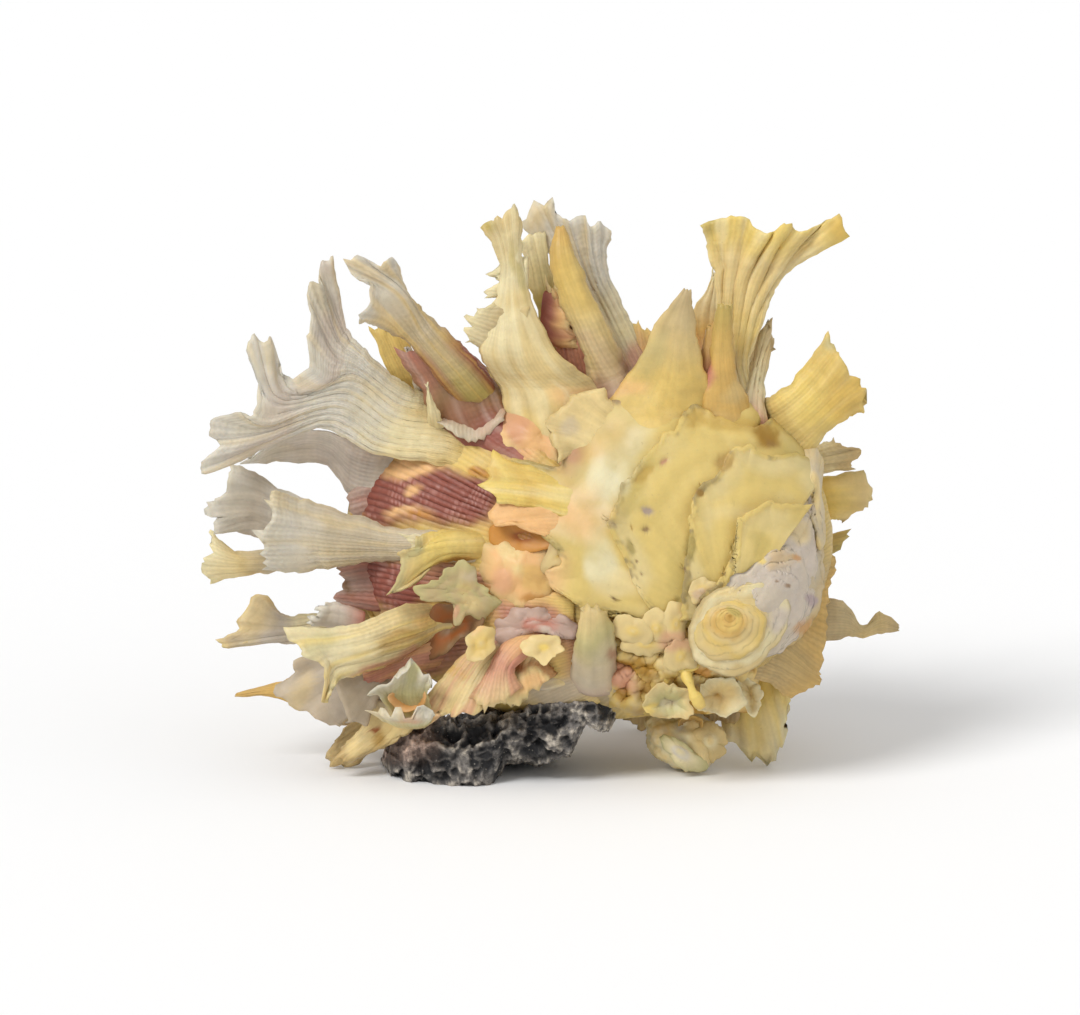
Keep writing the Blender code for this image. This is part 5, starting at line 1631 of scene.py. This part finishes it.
CRUST_PATCHES = [
    (56, 57, 4, 3, 30, "honey", 0.5), (59.5, 57.5, 2.4, 1.4, -40, "orange", 0.7),
    (50.5, 56.5, 2.6, 1.2, 30, "bright", 0.9), (62, 46, 2.0, 2.6, 20, "purple", 0.9),
    (61, 39.5, 3.5, 2.2, 50, "orange", 0.6), (54.5, 43, 3, 5, -10, "lilac", 0.9),
    (56.5, 53.5, 5, 3.5, 50, "lilac", 0.8), (57, 50.6, 0.6, 0.6, 0, "brown", 0.8),
    (55.4, 51.6, 0.5, 0.5, 0, "brown", 0.7), (43, 49.3, 5, 1.6, 10, "cream", 0.8),
    (64.5, 58, 1.2, 5, 0, "lilac", 0.8), (61, 64, 3, 3, 0, "cream", 0.6),
]
make_dish("umbo_cap", [
    (33.4, 40, 34.0), (34.2, 35.6, 33.6), (37, 32.4, 33.2), (41.4, 31.2, 33), (46, 31.8, 33),
    (50, 34.4, 33), (52, 38.2, 33.2), (51.8, 42.2, 33.6), (49.2, 45.7, 34), (45.4, 47.4, 34.2),
    (41, 47.2, 34.2), (36.6, 45.2, 34.2), (34.2, 42.8, 34),
], (43.2, 42.4, 36.6), "ochre honey yellow honey straw yellow straw", power=1.9, thick=0.8, ragged=0.6,
    ruffle=0.3, lump=0.25, rings=7, ring_depth=0.16, line_shade=0.22, material=SMOOTH_SHELL,
    patches=[(35, 39, 2.5, 6, 10, "bright", 0.7), (45.9, 44.2, 1.8, 1.2, -40, "olive", 0.9),
             (41, 41, 3.5, 3.5, 0, "honey", 0.5), (47, 36, 4, 3, 30, "cream", 0.6)])
make_dish("umbo_ring", above_plates([
    (34.5, 31.2, 31), (38, 29.3, 30.5), (41, 28, 30), (44.5, 27.3, 29.8), (47.5, 28.5, 29.6),
    (51, 31, 29.3), (54, 34, 29), (56.5, 38, 28.5), (58, 42, 28.5), (58.3, 44.5, 28.5),
    (57.3, 47, 29), (55, 49.2, 30), (52, 50.5, 31), (48, 50.8, 32), (44, 50, 32.5), (40, 49, 32.5),
    (37, 46.5, 32.5), (34.5, 44, 32.3), (33.2, 40, 32), (33.1, 36, 31.6),
]), (43, 41, 34.6), "straw straw cream straw pale straw", power=2.6, thick=1.2, ragged=0.4,
    rings=7, ring_depth=0.3, line_shade=0.35, material=CRUST,
    patches=CRUST_PATCHES, rim_shade=0.3)
make_dish("crust_plate_1", plate_rim([
    (46, 30.5), (51, 31.2), (54.5, 33.2), (57.5, 36), (60, 39.5), (61.4, 43.2), (62.4, 47.5),
    (62.8, 51), (61.7, 54.5), (59.7, 57.5), (56.7, 59.6), (53.6, 59.2), (51.6, 57.2), (49.6, 55.2),
    (46.6, 53), (44, 51.8), (42, 50), (42, 40),
], 2.0), (51, 46, 33.4), "shale shale lilac shale", power=1.7, thick=1.8, ragged=0.6, ruffle=0.5,
    lump=0.28,
    rings=7, ring_depth=0.5, material=CRUST, patches=CRUST_PATCHES,
    rim_shade=0.6, line_shade=0.45)
make_dish("crust_plate_2", plate_rim([
    (50, 32), (56, 34), (60, 37), (62.2, 41), (63.4, 45.5), (64, 50), (64.3, 55), (64.2, 60),
    (63.6, 64), (62.2, 67.5), (59.5, 68.6), (57, 66.3), (55, 63), (51.5, 61.4), (48.6, 60),
    (47.6, 57.6), (48.4, 55), (47, 48),
], 0.3), (53.5, 49, 31.4), "shale bone lilac shale", power=1.7, thick=1.8, ragged=0.8, ruffle=0.6,
    lump=0.3,
    rings=7, ring_depth=0.5, material=CRUST, patches=CRUST_PATCHES,
    rim_shade=0.6, line_shade=0.45)
make_dish("crust_plate_3", plate_rim([
    (52, 33), (59, 34.5), (63, 38.5), (65, 43), (66.2, 48), (66.8, 53), (66.6, 58.5), (66.1, 63.5),
    (65, 68), (62.6, 70.6), (58, 70), (54, 64), (51, 50),
], -1.2), (56, 51, 28.4), "honey buff bone buff", power=1.7, ragged=0.9, ruffle=0.6, lump=0.35,
    rings=2, ring_depth=0.3, material=CRUST, patches=CRUST_PATCHES,
    rim_shade=0.35)
make_dish("right_nodules", on_face([
    (62, 84), (64.6, 85), (66.4, 82), (66.6, 77), (66.4, 72), (66.6, 67), (66.8, 61), (65.4, 59),
    (64, 65), (62.4, 69), (62.2, 74), (61.4, 79),
], 1.8), (64.2, 73, 19.4), "straw cream bone straw", power=1.6, thick=1.6, ragged=1.4, ruffle=1.0,
    lump=0.6, material=CRUST, patches=[(62.6, 69, 2.2, 2.2, 0, "lilac", 0.9)])
print("after the umbo:", COUNT)

# %% [markdown]
# ## Lumps
#
# A round lump is rings round an axis: each ring's size follows a half circle, roughened by noise.
# The white lobe beside the rock is one.

# %% Foot lobe
def make_lump(name, centre, radii, tilt, roughness, size, tint_names, node_name, material,
              rows=60, columns=90):
    """A ball stretched to three radii, turned in the plane out = 0, pushed out by noise."""
    swing, turn = np.meshgrid(np.linspace(0.02, math.pi - 0.02, rows),
                              np.linspace(0, math.tau, columns, endpoint=False), indexing="ij")
    unit = np.stack([np.cos(swing), np.sin(swing) * np.cos(turn), np.sin(swing) * np.sin(turn)], axis=-1)
    away = unit * np.array(radii)
    c, s = math.cos(math.radians(tilt)), math.sin(math.radians(tilt))
    away = np.stack([away[..., 0] * c - away[..., 1] * s, away[..., 0] * s + away[..., 1] * c,
                     away[..., 2]], axis=-1)
    points = np.array(centre) + away
    bump = roughness * fractal(points, size, 71, 5)
    points += away / np.linalg.norm(away, axis=-1)[..., None] * bump[..., None]
    tint = shades(tint_names, 0.5 + 0.8 * fractal(points, size * 1.5, 72, 4))
    flat, quads = points.reshape(-1, 3), ring_quads(rows, columns)
    return keep(
        mesh_piece(name, flat, outward(flat, quads), tint.reshape(-1, 3), (turn * 3).ravel(),
                   (swing * 6).ravel(), 0.2, material),
        node_name,
    )


make_lump("foot_lobe", (32, 11.4, -1.5), (9.4, 7.4, 7.2), -8, 1.9, 6, "white pale cream white",
          "lower_valve", LOWER_SHELL)
print("after the lobe:", COUNT)

# %% [markdown]
# Below the umbo the face is crowded: a lumpy crust with ochre hollows, small scales, yellow
# strands across them, and four cups that hang over a brown crevice.

# %% Crust under the umbo
def make_growth(name, across_range, up_range, level, colours, lump=2.4, size=6.0, spacing=0.45,
                patches=(), floor_out=13.0):
    """A lumpy sheet over part of the face: ridged noise raises it, and its colour goes from the
    first in its hollows to the last on its ridges."""
    seed = seed_of(name)
    counts = [int((high - low) / spacing) for low, high in (up_range, across_range)]
    up, across = np.meshgrid(np.linspace(*up_range, counts[0]), np.linspace(*across_range, counts[1]),
                             indexing="ij")
    flat = flat3(np.stack([across, up], axis=-1))
    ridged = 1 - np.abs(fractal(flat, size, seed, 4)) * 1.6
    height = lump * ridged + 0.08 * lump * fractal(flat, 1.6, seed + 5, 3)
    side = np.minimum(np.minimum(across - across_range[0], across_range[1] - across),
                      np.minimum(up - up_range[0], up_range[1] - up))
    inner = step(0, 5, side + 2 * noise(flat, 4, seed + 6))
    base = np.maximum(ball_height(across, up), floor_out)
    out = base + level + (height - lump) * inner - 8 * (1 - inner)
    points = np.stack([across, up, out], axis=-1)
    tint = paint(points, shades(colours, step(0.1, 1.0, ridged)), patches)
    return keep(
        two_sided(name, points, np.full(up.shape, 2.0), tint, across, up, np.full(up.shape, 0.15),
                  SMOOTH_SHELL),
        "upper_valve",
    )


make_growth("low_crust", (12, 51), (18, 42), 3.4, "ochre honey yellow yellow straw", patches=[
    (16.5, 27, 4, 5, 20, "pink", 0.9), (28.5, 33, 3.5, 3.5, 0, "cream", 0.8),
    (31.5, 36, 2, 3, 0, "pink", 0.6), (22, 31, 6, 2.6, -25, "ochre", 1.0),
    (36, 30.5, 3, 1.5, -20, "orange", 0.8),
    (46, 29, 8, 1.8, 5, "brown", 0.8), (18, 38, 4, 1.6, -10, "orange", 0.7),
    (25, 16, 9, 3, -10, "brown", 0.9), (44, 22, 9, 6, 0, "cream", 0.6),
])
SCALES = {
    "scale_1": [(20.5, 38), (23, 36.4), (26.5, 35.6), (28.6, 37), (28.5, 40.5), (26, 44), (22, 43)],
    "scale_2": [(26.5, 38.6), (28.4, 36.4), (31.6, 35.8), (32.8, 38), (33.4, 43), (30, 46), (27, 44)],
    "scale_3": [(13.5, 38.2), (17.5, 35.6), (22, 35.2), (25, 37.6), (22, 42), (16, 42.5)],
    "scale_4": [(16, 33.8), (21.5, 32.6), (27, 33.4), (28.6, 35.8), (24, 38.5), (17, 37.6)],
    "scale_5": [(33, 47.5), (34.4, 45.4), (38.5, 46.6), (40.4, 49.8), (37, 51.6), (33.6, 50)],
    "scale_6": [(26.6, 31.6), (28.6, 28.6), (32.6, 29.4), (35.4, 31), (34, 35.6), (29.2, 36.6)],
}
for name, outline in SCALES.items():
    middle = np.mean(outline, axis=0)
    lift = {"scale_5": 7.0, "scale_4": 4.6, "scale_6": 5.6}.get(name, 5.2)
    make_dish(name, on_face(outline, lift - 0.9), (*middle, float(ball_height(*middle)) + lift),
              "straw yellow straw cream", power=2.2, thick=0.6, ragged=0.8, ruffle=0.15, lump=0.35,
              material=SMOOTH_SHELL,
              patches=[(31, 35, 4, 3, 30, "pink", 0.6), (37, 48.5, 3, 2, 0, "dusk", 0.6)])
make_dish("maroon_pore", [(15.7, 34, 21.2), (17, 32.8, 21.2), (18.4, 33.6, 21.2), (18.3, 35, 21.4),
                          (17, 35.5, 21.4)], (17, 34.2, 20.4), "maroon maroon rose",
          ragged=0.2, ruffle=0.1)
make_dish("cup_1", [
    (22.5, 21.5, 24), (24.5, 23.6, 25), (27.5, 25.3, 25.5), (30.2, 25.7, 25.5), (32.3, 24.4, 25),
    (33.4, 21.6, 24.5), (34.5, 18.5, 24), (32, 16.6, 24), (29.3, 17.3, 23.5), (27.6, 16.9, 23.5),
    (24, 18.2, 23.5), (21.5, 19.6, 23),
], (29, 20.8, 20.2), "moss sage green straw", power=2.8, thick=1.2, ragged=1.4, ruffle=0.5, lump=0.9,
    patches=[(23.5, 20, 3, 2, 20, "bright", 0.8), (28.5, 21, 3, 2.5, 30, "grey", 0.5)])
make_dish("cup_2", [
    (35.2, 22, 23.5), (35.4, 25, 24), (37.8, 27, 24), (41.5, 27.2, 23.5), (44.6, 25.6, 23),
    (46.4, 22.6, 22.5), (46.2, 19.4, 22), (43.6, 17.2, 22), (40, 18.2, 22.5), (37.4, 17.8, 22.5),
    (35, 19, 23),
], (40.2, 22.8, 19.8), "ochre buff straw pale", power=2.8, thick=1.2, ragged=1.4, ruffle=0.5, lump=0.9,
    patches=[(42.5, 24, 3, 2, -20, "cream", 0.7)])
make_dish("cup_3", [
    (45.4, 24.6, 20.5), (47.5, 26.3, 20.5), (50, 25.6, 19.5), (51.8, 22.8, 18.5), (51.4, 19.6, 18),
    (48.6, 17.6, 18.5), (46.3, 19.4, 19.5),
], (48.6, 22.4, 17.2), "buff straw straw pale", power=2.8, thick=1.2, ragged=1.4, ruffle=0.5, lump=0.9)
make_dish("cup_4", [
    (15.5, 24.5, 18), (18, 27, 19), (21, 28.6, 20), (23.4, 27.8, 20.4), (23.6, 25.4, 20.4),
    (22.4, 22.4, 20.4), (20, 20, 19.5), (17.5, 21.8, 18.6),
], (20.5, 25.2, 17.5), "grey peach honey yellow", thick=1.0, ragged=0.8, ruffle=0.7)

STRANDS = {
    "strand_1": ([(29.5, 31.5, 23), (31.4, 29.8, 25), (33, 26.8, 26), (34.2, 23.6, 26.4),
                  (35.6, 21, 25.8), (36.6, 19.4, 24.6)], [1.6, 1.5, 1.2, 1.3, 1.5, 1.1]),
    "strand_2": ([(18, 32.6, 21.5), (20.6, 30.8, 23.4), (23.2, 28.8, 23.8), (25.6, 26.4, 23.6),
                  (27.4, 24.6, 23)], [0.7, 0.8, 0.9, 0.8, 0.7]),
    "strand_3": ([(25.6, 31.6, 22.8), (25.8, 29.4, 24), (26.8, 27.2, 24), (28, 25.2, 23.4)],
                 [0.9, 0.8, 0.7, 0.9]),
    "strand_4": ([(36, 31, 25), (34, 29.4, 26), (31.6, 28.8, 25.6), (29.6, 29.4, 24)],
                 [0.9, 1.0, 0.9, 0.7]),
    "strand_5": ([(22, 29.6, 23), (21.6, 27.6, 22.6), (22.2, 25.4, 22.4)], [0.6, 0.6, 0.5]),
}


def make_tube(name, path, radii, tint_names, node_name, material, rows=48, columns=22, rough=0.3):
    """A tube along a smooth path of points: rings in the plane across it, their radius from a
    table, both ends rounded off."""
    share = np.linspace(0, 1, rows)
    at = mix_rows(path, share)
    for _ in range(8):
        at[1:-1] = (at[:-2] + 2 * at[1:-1] + at[2:]) / 4
    ahead = np.gradient(at, axis=0)
    ahead /= np.linalg.norm(ahead, axis=1)[:, None]
    side = np.cross(ahead, [0.3, 0.2, 1.0])
    side /= np.linalg.norm(side, axis=1)[:, None]
    over = np.cross(ahead, side)
    turn = np.linspace(0, math.tau, columns, endpoint=False)
    round_off = np.sqrt(np.clip(np.minimum(share, 1 - share) / 0.06, 0.02, 1))
    size = (np.interp(share, np.linspace(0, 1, len(radii)), radii) * round_off)[:, None, None]
    ring = side[:, None] * np.cos(turn)[:, None] + over[:, None] * np.sin(turn)[:, None]
    points = at[:, None] + size * ring
    seed = seed_of(name)
    points += size * ring * rough * fractal(points, 2.2, seed, 3)[..., None]
    tint = np.broadcast_to(shades(tint_names, share)[:, None], points.shape)
    flat, quads = points.reshape(-1, 3), ring_quads(rows, columns)
    return keep(
        mesh_piece(name, flat, outward(flat, quads), tint.reshape(-1, 3), 0, 0, 0.1, material),
        node_name,
    )


for name, (path, radii) in STRANDS.items():
    make_tube(name, path, radii, "honey bright bright yellow", "upper_valve", SMOOTH_SHELL)
upper("near_tube", [
    [(3.4, 27, 16), (16.8, 26, 15)],
    [(5, 32, 25), (15, 32, 25)],
    [(5.6, 39, 31), (14, 39.6, 31)],
    [(6.2, 43.6, 32), (8.4, 44.6, 32.4), (11, 44.2, 32.4), (13.6, 43.4, 32)],
], "dusk bone bone sage straw", arch=4.0, ribs=3, depth=0.4, ragged=0.7, curl=0.5, fine=0.1, root=0,
    patches=[(14, 33, 1.6, 3, 0, "maroon", 0.6)])
make_dish("rock_lip", [(-6, 24.5, 17), (-1, 27.3, 18), (5, 28.4, 19), (10, 27.4, 19.5), (14.6, 24.6, 19),
                       (13, 23.2, 19), (8, 24.6, 19), (3, 25.4, 18), (-3, 23.6, 17)], (5, 26.6, 18.6),
          "grey cream grey", thick=1.2)
make_dish("foot_fold_1", [(25.6, 12.6, 5), (28, 12.4, 6.4), (31.5, 10.4, 7.6), (35.5, 7.6, 7),
    (38.4, 5, 4.6),
                          (36.4, 3.2, 3.6), (33, 3.6, 5), (29.6, 5.6, 6.2), (27, 9, 6)], (31, 8.4, 8),
          "pale white pale green", power=1.6, ragged=1.0, ruffle=0.9, lump=0.4, node="lower_valve",
          material=LOWER_SHELL)
make_dish("foot_fold_2", [(34, 12.6, 5), (37.5, 14.8, 4), (41.4, 15, 2.6), (43.4, 11.8, 1),
    (42.6, 7.8, 0),
                          (40.4, 5.6, 1), (37.4, 7.4, 4), (35, 10, 5.6)], (38.6, 11, 5.4),
          "cream pale straw cream", power=1.6, ragged=1.2, ruffle=0.9, lump=0.4, node="lower_valve",
          material=LOWER_SHELL)
# The crevice is a brown and ochre dish: partly the shell's colour, partly painted shade in the crevice.
make_dish("crevice_hollow", [(31, 13, 4), (31.4, 16, 5), (34, 17.2, 6), (36.4, 16, 6), (36.6, 13.4, 5),
                             (34, 12.2, 4.6)], (33.8, 14.6, 1.5), "ochre ochre brown honey",
          power=2.2, node="lower_valve", material=LOWER_SHELL)
print("after the lumps:", COUNT)

# %% [markdown]
# ## The rock
#
# The shell grew on a piece of dark rock, full of pits, with light grains in it. Its length runs
# across, so it is a profile carried along that line: at each step an upright oval, pushed in and
# out by noise, with crevices where the noise is strongest. Its underside is cut flat by
# the floor.

# %% Rock
ROCK_ACROSS = [-43.5, -41, -36, -30, -26, -20, -14.5, -12, -8, -4, 0, 4, 6.5, 8, 11, 14, 16.5]
ROCK_TOP = [7, 13.5, 16.5, 17, 17, 17.5, 18.5, 19.5, 21, 23.2, 25, 26, 25.6, 24.6, 23.6, 23.4, 20.5]
ROCK_BOTTOM = [4, 0, -3, -4, -4, -4, -1, 4.5, 5.5, 4.2, 5.0, 6.6, 11.5, 14.4, 13, 13.6, 17]
ROCK_FRONT = [-4, 6, 11, 14, 15, 16, 16, 16.4, 16.5, 16.5, 17, 17.4, 17.4, 17.4, 17, 15, 11]
# A point is on the floor where up * cos(LEAN) + out * sin(LEAN) comes to this.
FLOOR_UP = 2.495
ROCK_BACK = [-14, -24, -29, -32, -33, -33, -32, -31, -28, -24, -18, -11, -9, -7, -3, 1, 5]


def make_rock(rows=190, columns=190):
    """Ovals between tables of top, bottom, front and back along the rock, each ring's corner
    rounded by a power. Ridged noise (1 minus its size) roughens them, and deep noise pits them."""
    around = np.linspace(0, math.tau, columns, endpoint=False)
    along, turn = np.meshgrid(np.linspace(0, 1, rows), around, indexing="ij")
    across = np.interp(along, [0, 1], [ROCK_ACROSS[0], ROCK_ACROSS[-1]])
    look = lambda table: np.interp(across, ROCK_ACROSS, table)
    closing = np.sqrt(np.clip(np.minimum(along, 1 - along) / 0.05, 0.01, 1))
    high, low, near, far = look(ROCK_TOP), look(ROCK_BOTTOM), look(ROCK_FRONT), look(ROCK_BACK)
    x, y = np.cos(turn), np.sin(turn)
    boxy = np.maximum(np.abs(x), np.abs(y)) ** 0.45
    up = (high + low) / 2 + (high - low) / 2 * y / boxy * closing
    out = (near + far) / 2 + (near - far) / 2 * x / boxy * closing
    points = np.stack([across, up, out], axis=-1)
    away = np.stack([across * 0, y, x], axis=-1)
    lumps = 1.5 * fractal(points, 10, 81, 2)
    ridged = 1 - np.minimum(np.abs(fractal(points, 6.5, 82, 4)) * 1.7, 1)
    sharp = 1 - np.minimum(np.abs(fractal(points, 2.4, 86, 3)) * 1.6, 1)
    deep = step(0.15, 0.5, fractal(points, 5, 85, 3))
    rough = lumps + 2.2 * (ridged - 0.7) + 0.8 * (sharp - 0.7) - 1.8 * deep
    points = points + away * rough[..., None]
    ground = (FLOOR_UP - points[..., 2] * math.sin(LEAN)) / math.cos(LEAN)
    points[..., 1] = np.maximum(points[..., 1], ground)
    return points, 0.55 * ridged + 0.45 * sharp - 0.4 * deep


def rock_tint(points, raised):
    """Colour follows the relief: black in the pits, dark grey on the body, grey-beige on the
    crests, partly the stone's own colour and partly painted shade and painted highlight; a
    pinkish crust on the upper left and a smooth grey-white patch at the upper right, both darker
    where the relief is low, as painted shade."""
    black = np.array((0.012, 0.012, 0.013))
    grey = np.array((0.17, 0.155, 0.14))
    light = np.array((0.46, 0.41, 0.34))
    # Painted shade: black in the pits; painted highlight: grey-beige on the crests, over the stone's own
    # dark grey.
    body = fade_to(black, grey, step(0.2, 0.7, raised))
    speck = step(0.66, 0.9, raised + 0.3 * fractal(points, 1.3, 87, 3))
    tint = fade_to(body, light, 0.85 * speck)
    left = step(-27, -33, points[..., 0] + 3 * noise(points, 5, 88)) * step(3, 8, points[..., 1])
    pinkish = linear("dusk") * (0.35 + 0.65 * step(0.3, 0.9, raised))[..., None]
    tint = fade_to(tint, pinkish, 0.85 * left)
    film = step(1.3, 0.6, np.hypot((points[..., 0] - 2) / 5, (points[..., 1] - 22.6) / 2.6))
    smooth = (0.30, 0.28, 0.27) * np.ones_like(tint) * (0.5 + 0.5 * step(0.2, 0.9, raised))[..., None]
    return fade_to(tint, smooth, 0.8 * film)


def dark_stone():
    """The stone's own tint, multiplied by a fine grain, with small light grains."""
    made, tree, shader = new_material("dark_rock_finish")
    link = tree.links.new
    place = node(tree, "TexCoord", (-1100, 0))
    own = node(tree, "Attribute", (-1100, 300), attribute_name="tint")

    def texture(kind, at, values, **settings):
        made_node = node(tree, kind, at, values, **settings)
        link(place.outputs["Object"], made_node.inputs["Vector"])
        return made_node

    grain = texture("TexNoise", (-850, 0), {"Scale": 900.0, "Detail": 4.0, "Roughness": 0.75})
    patch = texture("TexNoise", (-850, -250), {"Scale": 160.0, "Detail": 5.0, "Roughness": 0.65})
    chips = texture("TexVoronoi", (-850, -500), {"Scale": 1000.0})
    shade = ramp(tree, (-650, 0), grain.outputs["Fac"], (0.3, 0.7, 0.45, 1.7))
    body = mix(tree, (-400, 200), 1.0, own.outputs["Color"], shade, "RGBA", "MULTIPLY")
    grains = ramp(tree, (-650, -400), chips.outputs["Distance"], (0.05, 0.28, 1.0, 0.0))
    some = math_node(tree, "MULTIPLY", (-450, -350), grains,
                     ramp(tree, (-650, -600), patch.outputs["Fac"], (0.45, 0.6, 0.0, 0.7)), clamp=True)
    colour = mix(tree, (-150, 150), some, body, (0.46, 0.42, 0.36, 1), "RGBA")
    link(colour, shader.inputs["Base Color"])
    raised = node(tree, "Bump", (-100, -250), {"Strength": 0.8, "Distance": 0.0008})
    link(grain.outputs["Fac"], raised.inputs["Height"])
    link(raised.outputs["Normal"], shader.inputs["Normal"])
    dull = ramp(tree, (-300, -100), grain.outputs["Fac"], (0.3, 0.7, 0.5, 0.95))
    link(dull, shader.inputs["Roughness"])
    return made


STONE = dark_stone()
rock_points, rock_raised = make_rock()
flat = rock_points.reshape(-1, 3)
quads = outward(flat, ring_quads(*rock_raised.shape))
rock_colour = rock_tint(rock_points, rock_raised).reshape(-1, 3)
rock = mesh_piece("rock_piece", flat, quads, rock_colour, 0, 0, 0, STONE)
keep(rock, "rock")
print("with the rock:", COUNT)

# %% [markdown]
# ## Where it stands
#
# A plain pale floor, a white room, two lamps with soft edges, and a camera that looks straight
# along the shell's out direction.

# %% Floor, world and lamps
FLOOR_HALF = 6.0  # metres


def make_floor():
    floor_mesh = bpy.data.meshes.new("floor")
    corners = [(x * FLOOR_HALF, y * FLOOR_HALF, 0) for x, y in ((-1, -1), (1, -1), (1, 1), (-1, 1))]
    floor_mesh.from_pydata(corners, [], [(0, 1, 2, 3)])
    made = add_object("floor", floor_mesh)
    material, _, shader = new_material("pale_floor")
    shader.inputs["Base Color"].default_value = (0.93, 0.93, 0.93, 1)
    shader.inputs["Roughness"].default_value = 0.9
    shader.inputs["Specular IOR Level"].default_value = 0.1
    floor_mesh.materials.append(material)


def make_world(light):
    """White where the camera and reflections see it, and dimmer as a light."""
    world = bpy.data.worlds.new("white_room")
    bpy.context.scene.world = world
    world.use_nodes = True
    tree = world.node_tree
    paths = node(tree, "LightPath", (-700, 0))
    seen = math_node(tree, "MAXIMUM", (-500, 0), paths.outputs["Is Camera Ray"],
                     paths.outputs["Is Glossy Ray"])
    seen = math_node(tree, "MAXIMUM", (-350, 0), seen, paths.outputs["Is Transmission Ray"])
    strength = mix(tree, (-150, 0), seen, light, 1.0)
    background = tree.nodes["Background"]
    background.inputs["Color"].default_value = (1, 1, 1, 1)
    tree.links.new(strength, background.inputs["Strength"])


def add_sun(name, towards, strength, softness):
    """A lamp whose light comes from one direction everywhere, with a soft edge in degrees."""
    lamp = bpy.data.lights.new(name, "SUN")
    lamp.energy, lamp.angle = strength, math.radians(softness)
    made = add_object(name, lamp)
    made.rotation_euler = Vector(towards).to_track_quat("Z", "Y").to_euler()


make_floor()
make_world(0.5)
add_sun("key", (-0.8, -0.8, 1.1), 2.0, 25)
add_sun("top", (0.6, -0.3, 1.0), 0.5, 80)
print("lamps:", [lamp.name for lamp in bpy.data.lights])

# %% [markdown]
# The camera stands far off, so that it sees the shell nearly without perspective.

# %% Camera
DISTANCE = 2000.0  # from the camera to its aim, in millimetres
AIM = (-3.5, 68.9, 0.0)
FRAME_WIDE = 270.0  # how wide a view the camera takes in at its aim
SENSOR = 36.0
camera_data = bpy.data.cameras.new("camera")
camera_data.sensor_width = SENSOR
camera_data.lens = SENSOR * DISTANCE / FRAME_WIDE
camera_data.clip_start, camera_data.clip_end = 0.05, 50.0
camera = add_object("camera", camera_data)
camera.location = to_world((AIM[0], AIM[1], DISTANCE))
away = Vector(to_world((AIM[0], AIM[1], DISTANCE)) - to_world(AIM))
camera.rotation_euler = away.to_track_quat("Z", "Y").to_euler()
bpy.context.scene.camera = camera
bpy.context.scene.view_settings.view_transform = "Standard"
print("camera at, in mm:", [round(x / MM) for x in camera.location])

# %% [markdown]
# The scene is brought up to date, and the count of pieces and triangles is printed.

# %% Update and count
bpy.context.view_layer.update()
print("total:", COUNT)
